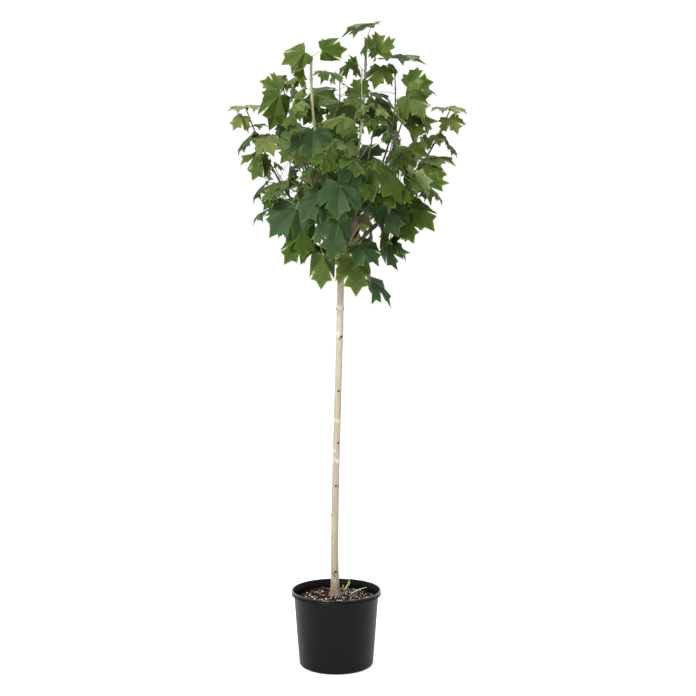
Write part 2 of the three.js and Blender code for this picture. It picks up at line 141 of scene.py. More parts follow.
# The toothed half outline that shows, from the foot to the tip, over the blade's length
BASAL_LOBE = ((0.13, -0.09), (0.39, -0.19), (0.44, -0.09), (0.63, -0.1))
LOW_SINUS = (0.48, 0.12)
SIDE_LOBE = ((0.7, 0.22), (0.65, 0.37), (0.83, 0.59), (0.6, 0.56), (0.53, 0.7))
HIGH_SINUS = (0.23, 0.46)
TIP_LOBE = ((0.36, 0.72), (0.16, 0.75), (0.0, 1.0))
VEIN_ENDS = ((0.36, -0.03), (0.5, 0.36), (0.0, 0.62))  # in the basal, side and tip lobes
VEIN_PARTING = 0.022  # from the foot, where the veins part
BLADE_THICKNESS = 0.006
LEAF_CURL = math.radians(34)  # how far a blade bends along its midrib
LEAF_CREASE = math.radians(26)  # faces that meet more steeply show an edge

TOP, UNDER, VEIN = LEAF_PARTS = range(3)
# The deep green is darker and bluer than an old leaf's own green: painted shade low and inside the head, with
# a bluish painted sheen
DEEP, FULL, FRESH, YOUNG, OLIVE = range(5)
PALE_WOOD, DARK_WOOD = range(2)


@dataclass(frozen=True)
class ShootKind:
    """How a shoot bows, how many pairs of leaves and side twigs it bears, its blades, age (also painted
    shade) and wood.
    """

    bow: float
    pairs: int
    twigs: int
    leaf: float
    tip_leaf: float
    youth_and_light: float
    wood: int


@dataclass(frozen=True)
class Shoot:
    """A named shoot: its tip from the fork, how far below the fork it starts, and its lowest pair's turn.

    A shoot with a sway turns upright past its bough: the sway is how much of its way sideways it aims for.
    """

    name: str
    kind: ShootKind
    tip: tuple
    start: float
    turn: float
    sway: float = 0.0


LEADER = ShootKind(0.42, 8, 3, 0.108, 0.094, 0.22, PALE_WOOD)
DARK_LEADER = replace(LEADER, wood=DARK_WOOD)
RISER = ShootKind(0.4, 7, 3, 0.104, 0.092, 0.26, DARK_WOOD)
SIDE_ARM = ShootKind(0.36, 8, 3, 0.086, 0.05, 0.62, DARK_WOOD)
ARM = ShootKind(0.4, 7, 3, 0.108, 0.076, 0.16, DARK_WOOD)
SPUR = ShootKind(0.62, 5, 2, 0.108, 0.084, 0.0, DARK_WOOD)
HANGING_SPUR = ShootKind(0.2, 2, 0, 0.088, 0.082, 0.0, DARK_WOOD)

SWAY_LOW = (0.38, 0.38, 0.275)  # the lower handle of a shoot with a sway, as shares of its way
SWAY_HEIGHT = 0.55  # its upper handle's share of the height

SHOOTS = (
    Shoot("left_leader", LEADER, (-0.087, -0.115, 0.559), 0.008, 45, 1.1),
    Shoot("centre_leader", LEADER, (0.076, -0.03, 0.63), 0.004, 0, 1.05),
    Shoot("right_leader", DARK_LEADER, (0.164, 0.03, 0.566), 0.014, 0, 1.22),
    Shoot("back_leader", DARK_LEADER, (-0.005, 0.15, 0.565), 0.01, 0),
    Shoot("left_riser", RISER, (-0.19, 0.07, 0.54), 0.02, 90),
    Shoot("right_riser", RISER, (0.218, -0.115, 0.475), 0.024, 90),
    Shoot("right_arm", SIDE_ARM, (0.344, 0.03, 0.44), 0.03, 0),
    Shoot("left_arm", SIDE_ARM, (-0.298, 0.02, 0.44), 0.028, 0),
    Shoot("front_left_arm", ARM, (-0.135, -0.255, 0.385), 0.034, 0),
    Shoot("front_right_arm", ARM, (0.105, -0.275, 0.37), 0.04, 45),
    Shoot("back_left_arm", ARM, (-0.16, 0.25, 0.4), 0.036, 30),
    Shoot("back_right_arm", ARM, (0.175, 0.265, 0.385), 0.042, 50),
    Shoot("low_left_spur", SPUR, (-0.195, -0.095, 0.15), 0.05, 60),
    Shoot("low_right_spur", SPUR, (0.24, -0.06, 0.165), 0.054, 90),
    Shoot("low_front_spur", SPUR, (0.01, -0.22, 0.11), 0.058, 45),
    Shoot("low_back_spur", SPUR, (0.02, 0.24, 0.14), 0.062, 45),
    Shoot("hanging_spur", HANGING_SPUR, (0.084, -0.04, -0.058), 0.068, 0),
)
SHOOT_NAMES = [shoot.name for shoot in SHOOTS]


@dataclass(frozen=True)
class PortraitLeaf:
    """A leaf that the photograph shows plainly.

    The node is the share of its shoot where the stalk starts. Foot and tip are pixels of the photograph.
    The depth is how far its foot lies behind the trunk and the reach how much further its tip lies. The
    facing is how far its upper side looks to the right, to the front and up, and the cup is how strongly
    its side lobes bend back.
    """

    shoot: str
    node: float
    foot: tuple
    tip: tuple
    depth: float
    reach: float
    facing: tuple
    cup: float
    tint: int


PORTRAIT = [PortraitLeaf(*row) for row in (
    # The tops
    ("centre_leader", 0.99, (373, 23), (340, 39), -0.03, 0.0, (-0.1, 0.2, 1.0), 0.5, FULL),
    ("centre_leader", 0.97, (378, 54), (375, 31), -0.06, 0.0, (0.4, 0.9, 0.1), -0.5, FRESH),
    ("centre_leader", 0.95, (386, 58), (427, 65), -0.01, 0.02, (0.1, 0.25, 1.0), 0.4, FULL),
    ("centre_leader", 0.97, (369, 42), (365, 57), -0.06, -0.02, (-0.75, 0.65, 0.2), 1.6, FULL),
    ("left_leader", 0.99, (322, 51), (348, 49), -0.13, -0.015, (0.0, 0.9, -0.35), 2.4, FULL),
    ("left_leader", 0.99, (305, 52), (281, 65), -0.13, -0.01, (-0.2, 1.0, -0.1), 2.3, FRESH),
    ("left_leader", 0.97, (299, 59), (299, 83), -0.1, 0.01, (0.3, 0.95, 0.2), 3.4, FULL),
    ("left_leader", 0.9, (324, 71), (342, 84), -0.1, -0.03, (0.4, 0.55, 0.8), 1.2, FULL),
    ("centre_leader", 0.84, (354, 61), (338, 79), -0.05, 0.03, (-0.7, 0.35, 0.6), 0.6, FULL),
    ("centre_leader", 0.82, (357, 74), (348, 54), -0.06, 0.0, (0.92, 0.36, 0.2), 0.5, FULL),
    ("centre_leader", 0.8, (361, 94), (353, 79), -0.08, 0.01, (0.0, 1.0, 0.2), 0.8, FULL),
    ("right_leader", 0.98, (382, 69), (374, 90), 0.0, -0.025, (-0.1, 1.0, 0.35), 1.6, FRESH),
    ("right_leader", 0.86, (370, 93), (391, 103), 0.03, -0.01, (0.2, 0.36, 0.9), 0.8, DEEP),
    ("right_riser", 0.97, (408, 88), (434, 82), -0.07, 0.0, (0.1, 1.0, 0.15), 0.9, FULL),
    ("right_riser", 0.95, (408, 97), (425, 119), -0.1, -0.03, (0.1, 1.0, 0.2), 1.8, FRESH),
    ("right_riser", 0.9, (396, 112), (415, 148), -0.08, -0.02, (0.7, 0.58, 0.42), -1.4, FRESH),
    ("right_riser", 0.93, (421, 88), (438, 97), -0.02, 0.0, (0.2, 0.3, 0.9), 1.0, DEEP),
    ("left_riser", 0.97, (280, 90), (259, 81), 0.03, -0.01, (0.0, 1.0, 0.3), 0.8, FRESH),
    ("left_riser", 0.95, (280, 95), (269, 131), 0.0, -0.03, (0.45, 0.85, 0.2), 2.8, FULL),
    ("left_riser", 0.95, (298, 76), (280, 95), 0.06, -0.01, (-0.6, 0.2, 0.75), 1.0, FULL),
    ("left_leader", 0.74, (311, 97), (290, 124), -0.04, -0.01, (-0.6, 0.7, 0.5), 1.5, FULL),
    ("left_leader", 0.74, (313, 94), (338, 101), -0.06, -0.02, (0.1, 0.8, 0.6), 1.2, FULL),
    ("left_riser", 0.9, (301, 77), (294, 90), 0.02, 0.0, (-0.6, 0.7, 0.3), 1.4, FULL),
    ("left_leader", 0.62, (316, 108), (303, 126), -0.02, 0.0, (-0.1, 1.0, 0.3), 1.2, FRESH),
    # The side arms
    ("right_arm", 0.99, (446, 108), (430, 112), 0.03, -0.015, (-0.2, 0.34, 0.95), 1.2, YOUNG),
    ("right_arm", 0.99, (450, 107), (468, 115), 0.03, -0.01, (0.2, 0.42, 0.9), 1.2, YOUNG),
    ("right_arm", 0.9, (449, 118), (458, 135), 0.02, -0.02, (0.2, 1.0, 0.3), 1.0, YOUNG),
    ("right_arm", 0.86, (436, 135), (440, 147), 0.01, -0.02, (0.0, 1.0, 0.2), 1.1, YOUNG),
    ("right_arm", 0.82, (443, 135), (448, 151), 0.03, -0.01, (0.95, 0.15, 0.3), 0.9, FRESH),
    ("right_arm", 0.78, (446, 142), (457, 159), 0.05, -0.01, (0.84, 0.12, 0.54), 0.9, DEEP),
    ("right_arm", 0.62, (428, 158), (457, 167), 0.02, -0.015, (0.1, 0.4, 0.9), 0.9, FRESH),
    ("right_arm", 0.62, (429, 163), (442, 185), -0.02, -0.025, (0.3, 1.0, 0.3), 1.8, FRESH),
    ("right_arm", 0.52, (433, 190), (442, 207), 0.02, 0.0, (0.9, 0.1, 0.45), 0.9, DEEP),
    ("left_arm", 0.99, (245, 107), (227, 112), 0.02, -0.01, (-0.2, 0.38, 0.92), 1.2, YOUNG),
    ("left_arm", 0.99, (250, 105), (267, 112), 0.02, -0.01, (0.2, 0.35, 0.92), 1.2, YOUNG),
    ("left_arm", 0.92, (243, 116), (233, 131), 0.01, -0.02, (-0.2, 1.0, 0.3), 1.9, YOUNG),
    ("left_arm", 0.9, (252, 126), (269, 127), 0.0, 0.0, (0.0, 0.25, 1.0), 0.5, DEEP),
    ("left_arm", 0.8, (251, 135), (238, 157), 0.03, -0.01, (-0.86, 0.12, 0.5), 0.9, DEEP),
    ("left_arm", 0.82, (260, 135), (256, 148), 0.01, -0.02, (0.0, 1.0, 0.2), 1.1, YOUNG),
    ("left_arm", 0.7, (262, 154), (240, 166), 0.02, -0.01, (-0.1, 0.5, 0.8), 1.4, FRESH),
    ("left_arm", 0.66, (263, 158), (252, 181), 0.0, -0.02, (0.2, 1.0, 0.2), 2.8, FRESH),
    ("left_arm", 0.7, (266, 139), (274, 157), -0.02, -0.03, (0.0, 1.0, 0.4), 1.2, YOUNG),
    ("left_arm", 0.5, (267, 182), (253, 205), 0.03, -0.01, (-0.81, 0.15, 0.59), 0.9, DEEP),
    ("left_arm", 0.46, (288, 183), (268, 196), -0.01, -0.02, (-0.45, 0.36, 0.83), 0.6, FRESH),
    ("left_arm", 0.4, (277, 198), (263, 211), 0.02, -0.015, (-0.2, 0.8, 0.5), 1.2, FULL),
    ("left_arm", 0.38, (268, 209), (252, 227), 0.04, 0.0, (-0.6, 0.2, 0.78), 0.9, DEEP),
    # The low front
    ("low_front_spur", 0.6, (340, 185), (337, 221), -0.22, -0.025, (0.0, 1.0, 0.1), 1.5, DEEP),
    ("low_front_spur", 0.8, (322, 195), (300, 223), -0.2, -0.02, (-0.1, 1.0, 0.2), 2.0, DEEP),
    ("low_front_spur", 0.9, (339, 220), (329, 262), -0.2, -0.01, (0.35, 0.93, 0.1), 2.3, DEEP),
    ("low_left_spur", 0.95, (298, 208), (269, 238), -0.1, -0.02, (-0.2, 1.0, 0.3), 1.6, DEEP),
    ("low_left_spur", 0.8, (302, 240), (284, 265), -0.09, -0.015, (-0.2, 1.0, 0.0), 2.3, FULL),
    ("low_left_spur", 0.7, (304, 226), (303, 260), -0.11, -0.01, (0.3, 1.0, 0.1), 2.2, FULL),
    ("low_left_spur", 0.5, (323, 255), (321, 290), -0.09, 0.0, (0.0, 1.0, 0.0), 2.8, FRESH),
    ("front_left_arm", 0.6, (314, 131), (311, 166), -0.2, -0.03, (0.0, 1.0, 0.2), 1.3, DEEP),
    ("low_right_spur", 0.9, (387, 206), (399, 238), -0.09, -0.02, (-0.3, 0.95, 0.2), 2.2, DEEP),
    ("low_right_spur", 0.95, (408, 206), (435, 232), -0.06, -0.02, (0.2, 1.0, 0.3), 1.6, FULL),
    ("low_right_spur", 0.8, (390, 241), (398, 271), -0.04, 0.0, (-0.86, 0.48, 0.1), 0.6, DEEP),
    ("low_right_spur", 0.78, (389, 241), (406, 262), -0.05, 0.0, (0.8, 0.18, 0.6), 0.6, DEEP),
    ("low_right_spur", 0.7, (386, 226), (386, 257), -0.05, 0.01, (-0.98, 0.12, 0.1), 0.6, FULL),
    ("right_riser", 0.55, (412, 178), (431, 207), -0.13, -0.02, (0.84, 0.4, 0.38), -1.6, FULL),
    ("right_riser", 0.52, (410, 180), (414, 201), -0.12, 0.0, (-0.85, 0.45, 0.1), 0.8, FULL),
    ("right_riser", 0.5, (388, 188), (412, 204), -0.14, -0.02, (0.1, 0.8, 0.6), 1.4, FULL),
    ("low_front_spur", 0.35, (360, 244), (379, 267), -0.12, -0.01, (0.6, 0.8, 0.1), 1.1, DEEP),
    ("low_front_spur", 0.3, (355, 258), (356, 297), -0.1, 0.0, (0.2, 0.95, 0.0), 2.2, FRESH),
    ("low_right_spur", 0.45, (343, 219), (375, 228), 0.05, 0.0, (0.0, -0.8, 0.6), 1.0, OLIVE),
    ("low_right_spur", 0.85, (404, 216), (414, 244), -0.07, -0.01, (-0.4, 0.9, 0.2), 2.2, FULL),
    # The middle
    ("right_leader", 0.7, (374, 103), (397, 134), 0.06, -0.005, (0.3, 0.9, 0.3), 2.2, FULL),
    ("right_leader", 0.62, (392, 130), (370, 139), 0.05, -0.01, (0.0, 0.6, 0.8), 0.8, DEEP),
    ("right_leader", 0.5, (360, 160), (389, 151), 0.05, -0.01, (0.0, 0.7, 0.7), 0.8, DEEP),
    ("right_arm", 0.55, (408, 147), (416, 168), -0.02, -0.025, (0.0, 1.0, 0.3), 1.0, FRESH),
    ("right_arm", 0.45, (400, 151), (394, 174), -0.04, -0.02, (-0.4, 0.9, 0.3), 1.4, FULL),
    ("front_right_arm", 0.62, (371, 165), (402, 205), -0.15, -0.03, (0.4, 0.8, 0.55), 1.7, FULL),
    ("left_arm", 0.55, (298, 147), (280, 164), -0.04, -0.02, (0.0, 1.0, 0.3), 1.0, FRESH),
    ("front_left_arm", 0.42, (317, 170), (312, 190), -0.12, -0.02, (0.0, 1.0, 0.3), 1.0, YOUNG),
    ("centre_leader", 0.7, (350, 104), (353, 129), 0.01, -0.01, (0.0, 0.9, 0.5), 1.2, FRESH),
    ("front_left_arm", 0.85, (345, 117), (321, 132), -0.16, -0.02, (-0.1, 0.7, 0.75), 1.8, FRESH),
    ("left_riser", 0.75, (286, 123), (297, 142), 0.03, -0.01, (0.1, 0.8, 0.3), 1.2, DEEP),
    ("front_right_arm", 0.8, (355, 168), (337, 184), -0.2, -0.02, (-0.1, 1.0, 0.3), 1.2, DEEP),
    ("hanging_spur", 0.98, (369, 280), (391, 309), -0.03, 0.0, (0.75, 0.39, 0.54), 0.5, DEEP),
)]

# Pixels and radii that no grown leaf may cover: sky seen through the head, and in the last row the olive leaf
SKY_WINDOWS = (
    (318, 80, 5), (333, 88, 4), (316, 90, 3), (345, 80, 5), (345, 93, 6), (328, 68, 7), (357, 65, 4),
    (398, 80, 5), (399, 90, 4), (402, 66, 5), (386, 92, 6), (369, 92, 5), (322, 114, 5), (303, 123, 4),
    (288, 102, 4), (276, 118, 5), (266, 118, 5), (263, 130, 3), (283, 112, 3), (290, 142, 3), (276, 154, 4),
    (308, 167, 5), (275, 174, 5), (284, 171, 4), (288, 196, 5), (299, 177, 3), (318, 228, 4), (346, 240, 4),
    (366, 131, 4), (379, 143, 6), (391, 164, 4), (403, 130, 5), (405, 141, 5), (385, 153, 3), (425, 158, 3),
    (420, 198, 4), (409, 196, 3), (385, 188, 2), (379, 232, 4), (380, 243, 3), (311, 189, 2), (344, 168, 2),
    (356, 47, 4), (402, 73, 4), (399, 86, 5), (373, 142, 5), (386, 141, 4), (366, 139, 5), (404, 136, 6),
    (400, 126, 4), (392, 166, 4), (266, 176, 4), (423, 200, 4), (309, 80, 3), (386, 62, 3), (345, 76, 5),
    (388, 88, 4), (290, 142, 6), (303, 124, 6), (384, 154, 5), (272, 176, 4), (406, 144, 4), (380, 236, 3),
    (385, 88, 2), (391, 92, 2), (381, 91, 2), (274, 179, 3), (393, 232, 3), (342, 66, 5), (358, 66, 2),
    (410, 140, 3), (403, 133, 3), (438, 184, 3),
    (350, 219, 3), (356, 224, 4), (363, 220, 4), (369, 226, 3),
)
# Where a window is looked through, in shares of its radius
WINDOW_SPOTS = ((0, 0), (1, 0), (-1, 0), (0, 1), (0, -1), (0.7, 0.7), (0.7, -0.7), (-0.7, 0.7), (-0.7, -0.7))

# Stretches of shoots that nothing hides in the photograph, in shares of their length
SHOWN_STRETCHES = (
    ("left_leader", 0.6, 0.99),
    ("left_leader", 0.38, 0.46),
    ("centre_leader", 0.45, 0.95),
    ("right_leader", 0.5, 0.99),
    ("left_arm", 0.44, 0.99),
    ("right_arm", 0.55, 0.99),
    ("right_riser", 0.04, 0.36),
)
SHOWN_STEPS = 24  # places that are kept in view along a stretch
SHOWN_TRUNK = np.arange(1.14, 1.262, 0.012)  # heights where the trunk is kept in view
SHOWN_BLADE = ((0, 0.2), (0, 0.6), (0.35, 0.35), (-0.35, 0.35))  # places on a portrait leaf's blade
SIGHT_SLACK = 0.008  # a line of sight ends this far before what it keeps in view
PORTRAIT_RISE = 0.02  # how far a portrait leaf's stalk sets out upwards

# The head's outline in the photograph, in pixels, without the leaves that stand out of it
HEAD_OUTLINE = (
    (362, 36), (400, 62), (428, 82), (436, 110), (438, 150), (442, 186), (436, 214), (420, 238),
    (400, 262), (374, 268), (360, 262), (346, 262), (328, 276), (312, 266), (290, 262), (272, 236),
    (262, 210), (256, 180), (256, 150), (262, 118), (264, 90), (286, 62), (320, 50),
)

# Bark: height of each scar above the floor, its bearing in degrees (0 right, -90 front) and its radius
SCARS = (
    (0.289, -78, 0.0036), (0.28, -104, 0.0018), (0.284, -122, 0.0016), (0.274, -92, 0.0017),
    (0.391, -172, 0.0034), (0.463, -165, 0.0034), (0.556, -85, 0.003), (0.554, -30, 0.0026),
    (0.69, -62, 0.0032), (0.798, -20, 0.0026), (0.851, -82, 0.0032), (0.926, -18, 0.0032),
    (1.02, -60, 0.0042), (1.012, -92, 0.0022), (1.106, -22, 0.0042), (1.107, -160, 0.0042),
    (1.196, -84, 0.0032), (1.218, -160, 0.005),
)
PALE_SPOTS = ((0.631, -62, 0.0036), (0.665, -130, 0.0036), (1.03, -120, 0.003))
RINGS = ((0.634, 0.4), (0.755, 0.5), (1.106, 1.0), (1.022, 0.4))  # height and strength
# painted shade: the left side of the trunk's head is painted a darker brown
SIDE_SHADE = (1.235, 180, 0.03)  # brown shade on the side of the trunk's head
OLIVE_SPOTS = ((0.428, -110, 0.032), (0.975, 180, 0.055))  # height, bearing and half height


# Node trees


def math_operators(operation):
    """An operator that adds a Math node, and its reflected form."""

    def plain(wire, other):
        return wire.math(operation, wire, other)

    def reflected(wire, other):
        return wire.math(operation, other, wire)

    return plain, reflected


class Wire:
    """A node's output that takes part in Python arithmetic by adding Math nodes."""

    __add__, __radd__ = math_operators("ADD")
    __sub__, __rsub__ = math_operators("SUBTRACT")
    __mul__, __rmul__ = math_operators("MULTIPLY")
    __truediv__, __rtruediv__ = math_operators("DIVIDE")

    def __init__(self, nodes, socket):
        self.nodes = nodes
        self.socket = socket

    def math(self, operation, first, second=0.0):
        return self.nodes.add("ShaderNodeMath", {"operation": operation}, {0: first, 1: second})

    def __abs__(self):
        return self.math("ABSOLUTE", self)

    def sine(self):
        return self.math("SINE", self)

    def cosine(self):
        return self.math("COSINE", self)


class Nodes:
    """Adds nodes to one tree: the settings first, then the values or links of the sockets."""

    def __init__(self, tree):
        self.tree = tree

    def add(self, kind, settings=None, sockets=None, output=0):
        node = self.tree.nodes.new(kind)
        for name, value in (settings or {}).items():
            if name == "stops":
                set_stops(node.color_ramp, value)
            else:
                setattr(node, name, value)
        for name, value in (sockets or {}).items():
            socket = node.inputs[name]
            if isinstance(value, Wire):
                self.tree.links.new(value.socket, socket)
            else:
                socket.default_value = value
        return Wire(self, node.outputs[output]) if node.outputs else node

    def mix_colours(self, factor, first, second):
        return self.add("ShaderNodeMix", {"data_type": "RGBA"}, {0: factor, 6: first, 7: second}, output=2)

    def ramp(self, factor, *stops):
        return self.add("ShaderNodeValToRGB", {"stops": stops}, {"Fac": factor})

    def noise(self, vector, scale, detail=3.0, roughness=0.5):
        sockets = {"Vector": vector, "Scale": scale, "Detail": detail, "Roughness": roughness}
        return self.add("ShaderNodeTexNoise", None, sockets)

    def attribute(self, name, data_type="FLOAT"):
        return self.add("GeometryNodeInputNamedAttribute", {"data_type": data_type}, {"Name": name})


def set_stops(ramp, stops):
    """Gives a colour ramp its stops, each a place and a grey level or a colour."""
    while len(ramp.elements) < len(stops):
        ramp.elements.new(1.0)
    for element, (place, colour) in zip(ramp.elements, stops):
        element.position = place
        element.color = (colour,) * 3 + (1.0,) if isinstance(colour, float) else rgba(colour)


def rgba(colour):
    return (*colour[:3], 1.0)


def new_material(name, colour, roughness, **shader_values):
    """A material with one Principled shader. Returns it with its nodes and shader."""
    material = bpy.data.materials.new(name)
    material.use_nodes = True
    nodes = Nodes(material.node_tree)
    shader = material.node_tree.nodes["Principled BSDF"]
    shader.inputs["Base Color"].default_value = rgba(colour)
    shader.inputs["Roughness"].default_value = roughness
    for socket, value in shader_values.items():
        shader.inputs[socket.replace("_", " ")].default_value = value
    material.diffuse_color = rgba(colour)
    return material, nodes, shader


def feed(nodes, shader, **wires):
    for socket, wire in wires.items():
        nodes.tree.links.new(wire.socket, shader.inputs[socket.replace("_", " ")])


def object_place(nodes, scale=(1.0, 1.0, 1.0)):
    """Object coordinates, stretched by a Mapping node."""
    place = nodes.add("ShaderNodeTexCoord", output=3)
    return nodes.add("ShaderNodeMapping", None, {"Vector": place, "Scale": scale})


def height_of(nodes, place):
    return nodes.add("ShaderNodeSeparateXYZ", None, {"Vector": place}, output=2)


def bumped(nodes, shader, height, distance):
    sockets = {"Height": height, "Distance": distance, "Strength": 1.0}
    feed(nodes, shader, Normal=nodes.add("ShaderNodeBump", None, sockets))


def geometry_tree(name, inputs):
    """A Geometry Nodes tree with one geometry in and out and named inputs. Returns its nodes and inputs."""
    tree = bpy.data.node_groups.new(name, "GeometryNodeTree")
    tree.interface.new_socket("Geometry", in_out="OUTPUT", socket_type="NodeSocketGeometry")
    for title, kind in {"Geometry": "NodeSocketGeometry", **inputs}.items():
        tree.interface.new_socket(title, in_out="INPUT", socket_type=kind)
    nodes = Nodes(tree)
    entry = tree.nodes.new("NodeGroupInput")
    return nodes, {socket.name: Wire(nodes, socket) for socket in entry.outputs if socket.name}


def end_tree(nodes, geometry, materials, choice=None):
    """Ends a tree in Realize Instances and Set Material. A choice is a whole number for each face."""
    geometry = nodes.add("GeometryNodeRealizeInstances", None, {"Geometry": geometry})
    for number, material in enumerate(materials):
        sockets = {"Geometry": geometry, "Material": material}
        if choice is not None:
            settings = {"data_type": "INT", "operation": "EQUAL"}
            sockets["Selection"] = nodes.add("FunctionNodeCompare", settings, {2: choice, 3: number})
        geometry = nodes.add("GeometryNodeSetMaterial", None, sockets)
    nodes.add("NodeGroupOutput", None, {"Geometry": geometry})


def apply_tree(obj, nodes, **values):
    """Runs a tree on an object and keeps what it makes as the object's plain mesh."""
    modifier = obj.modifiers.new(nodes.tree.name, "NODES")
    modifier.node_group = nodes.tree
    for item in nodes.tree.interface.items_tree:
        if item.in_out == "INPUT" and item.name in values:
            modifier[item.identifier] = values[item.name]
    return keep_evaluated(obj)


def keep_evaluated(obj):
    """Replaces an object's mesh by what its modifiers make of it, and removes them."""
    depsgraph = bpy.context.evaluated_depsgraph_get()
    mesh = bpy.data.meshes.new_from_object(obj.evaluated_get(depsgraph), depsgraph=depsgraph)
    if not mesh.polygons:
        raise RuntimeError(f"{obj.name} came out empty")
    before = obj.data
    obj.modifiers.clear()
    obj.data = mesh
    mesh.name = obj.name
    bpy.data.meshes.remove(before)
    return obj


# Meshes


def add_mesh(name, points, faces=(), edges=(), smooth=True):
    """A new object at the origin with its place in its mesh."""
    mesh = bpy.data.meshes.new(name)
    mesh.from_pydata([tuple(p) for p in points], list(edges), [tuple(f) for f in faces])
    if len(mesh.polygons):
        mesh.polygons.foreach_set("use_smooth", [smooth] * len(mesh.polygons))
    mesh.update()
    obj = bpy.data.objects.new(name, mesh)
    bpy.context.scene.collection.objects.link(obj)
    return obj


def set_attribute(mesh, name, kind, domain, values):
    field = {"FLOAT_VECTOR": "vector"}.get(kind, "value")
    attribute = mesh.attributes.new(name, kind, domain)
    attribute.data.foreach_set(field, np.asarray(values).ravel())


def drop_attributes(mesh, *names):
    for name in names:
        if name in mesh.attributes:
            mesh.attributes.remove(mesh.attributes[name])


def finish_piece(obj, slot, *nodes, material=None):
    """Puts a piece on the tree's one body with its material and hides the nodes that it stands for. The slot
    is not used.
    """
    if material:
        obj.data.materials.append(material)
    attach(obj, "root")
    if nodes:
        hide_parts(*nodes)


def unit(vector):
    return vector / np.linalg.norm(vector)


def mix(first, second, share):
    return first + (second - first) * share


def bell(distance, width):
    return np.exp(-((distance / width) ** 2))


NEARLY_UPRIGHT = 0.99


def tube(centres, radii, sides):
    """Points and faces of a closed tube along a row of points."""
    centres = np.asarray(centres, float)
    ways = np.gradient(centres, axis=0)
    across = unit(np.cross(ways[0], UP if abs(unit(ways[0])[2]) < NEARLY_UPRIGHT else (0, 1, 0)))
    angles = np.arange(sides) * 2 * math.pi / sides
    points = []
    for centre, radius, way in zip(centres, radii, ways):
        way = unit(way)
        across = unit(across - way * across.dot(way))
        round_way = np.outer(np.cos(angles), across) + np.outer(np.sin(angles), np.cross(way, across))
        points.append(centre + radius * round_way)
    last = (len(centres) - 1) * sides
    faces = [tuple(range(sides))[::-1], tuple(range(last, last + sides))]
    for ring in range(0, last, sides):
        for k in range(sides):
            a, b = ring + k, ring + (k + 1) % sides
            faces.append((a, b, b + sides, a + sides))
    return np.concatenate(points), faces


def lathe(profile, segments):
    """Points and faces of a profile of radius and height turned about Z, from pole to pole."""
    rings = profile[1:-1]
    angles = np.arange(segments) * 2 * math.pi / segments
    points = [(0, 0, profile[0][1])]
    points += [(r * math.cos(a), r * math.sin(a), z) for r, z in rings for a in angles]
    points.append((0, 0, profile[-1][1]))
    faces = []
    top = len(points) - 1
    for k in range(segments):
        after = (k + 1) % segments
        faces.append((0, 1 + after, 1 + k))
        for ring in range(len(rings) - 1):
            a, b = 1 + ring * segments + k, 1 + ring * segments + after
            faces.append((a, b, b + segments, a + segments))
        last = 1 + (len(rings) - 1) * segments
        faces.append((last + k, last + after, top))
    return np.array(points), faces


def joined(parts):
    """Points and faces of several meshes as one."""
    faces = []
    count = 0
    for points, own_faces in parts:
        faces += [tuple(count + i for i in face) for face in own_faces]
        count += len(points)
    return np.concatenate([points for points, _ in parts]), faces


def arc(centre, radius, start, end, steps):
    """Points of an arc in the profile's plane, between two bearings in degrees."""
    angles = np.radians(np.linspace(start, end, steps + 1))
    return [(centre[0] + radius * math.cos(a), centre[1] + radius * math.sin(a)) for a in angles]


def noise_at(points, scale, seed=0.0):
    """Smooth noise from -1 to 1 at each point."""
    places = np.asarray(points) * scale + seed
    return np.array([noise.noise(Vector(place)) for place in places])


# How the head grows: the part's own rule, carried on to finer twigs


class Curve:
    """A Bezier curve that is walked by shares of its length."""

    STEPS = 200
    TANGENT_STEP = 1e-4

    def __init__(self, *handles):
        self.handles = np.array(handles, float)
        self.times = np.linspace(0, 1, self.STEPS + 1)
        runs = np.linalg.norm(np.diff(self.at_times(self.times), axis=0), axis=1)
        self.walked = np.concatenate([[0], np.cumsum(runs)])
        self.length = self.walked[-1]
        self.marks = self.at_times(np.linspace(0, 1, SPACE_STEPS + 1))

    def at_times(self, times):
        order = len(self.handles) - 1
        t = np.asarray(times, float)[:, None]
        terms = [math.comb(order, k) * t**k * (1 - t) ** (order - k) for k in range(order + 1)]
        return sum(term * handle for term, handle in zip(terms, self.handles))

    def points(self, shares):
        return self.at_times(np.interp(np.asarray(shares) * self.length, self.walked, self.times))

    def point(self, share):
        return self.points([share])[0]

    def tangent(self, share):
        step = self.TANGENT_STEP
        before, after = self.points([max(share - step, 0), min(share + step, 1)])
        return unit(after - before)

    def distance(self, place):
        return np.linalg.norm(self.marks - place, axis=1).min()


@dataclass
class Leaf:
    """Where a leaf stands and how its blade lies."""

    node: np.ndarray
    way: np.ndarray
    foot: np.ndarray
    along: np.ndarray
    across: np.ndarray
    face: np.ndarray
    size: float
    share: float
    shoot: int
    tint: int = -1
    cup: float = 0.0


@dataclass
class Limb:
    """A stem or twig: a stretch of a curve that tapers, and the shares where its leaves stand."""

    curve: Curve
    start: float
    radius: float
    tip_radius: float
    wood: int
    nodes: list


def random_from(seed):
    """A stream of numbers from 0 to 1 by the part's own rule, the same for the same seed."""
    state = seed & 0xFFFFFFFF
    while True:
        state = (state + 0x6D2B79F5) & 0xFFFFFFFF
        t = ((state ^ (state >> 15)) * (state | 1)) & 0xFFFFFFFF
        t ^= (t + ((t ^ (t >> 7)) * (t | 61) & 0xFFFFFFFF)) & 0xFFFFFFFF
        yield (t ^ (t >> 14)) / 4294967296


def trunk_curve():
    heights = np.linspace(TRUNK_LOW.z, FORK_HEIGHT, len(TRUNK_HANDLES))
    return Curve(*[(x, 0, z) for x, z in zip(TRUNK_HANDLES, heights)])


def trunk_share(height):
    return (height - TRUNK_LOW.z) / (FORK_HEIGHT - TRUNK_LOW.z)


def head_share(height):
    return (height - FORK_HEIGHT) / (CAD_HIGH.z - FORK_HEIGHT)


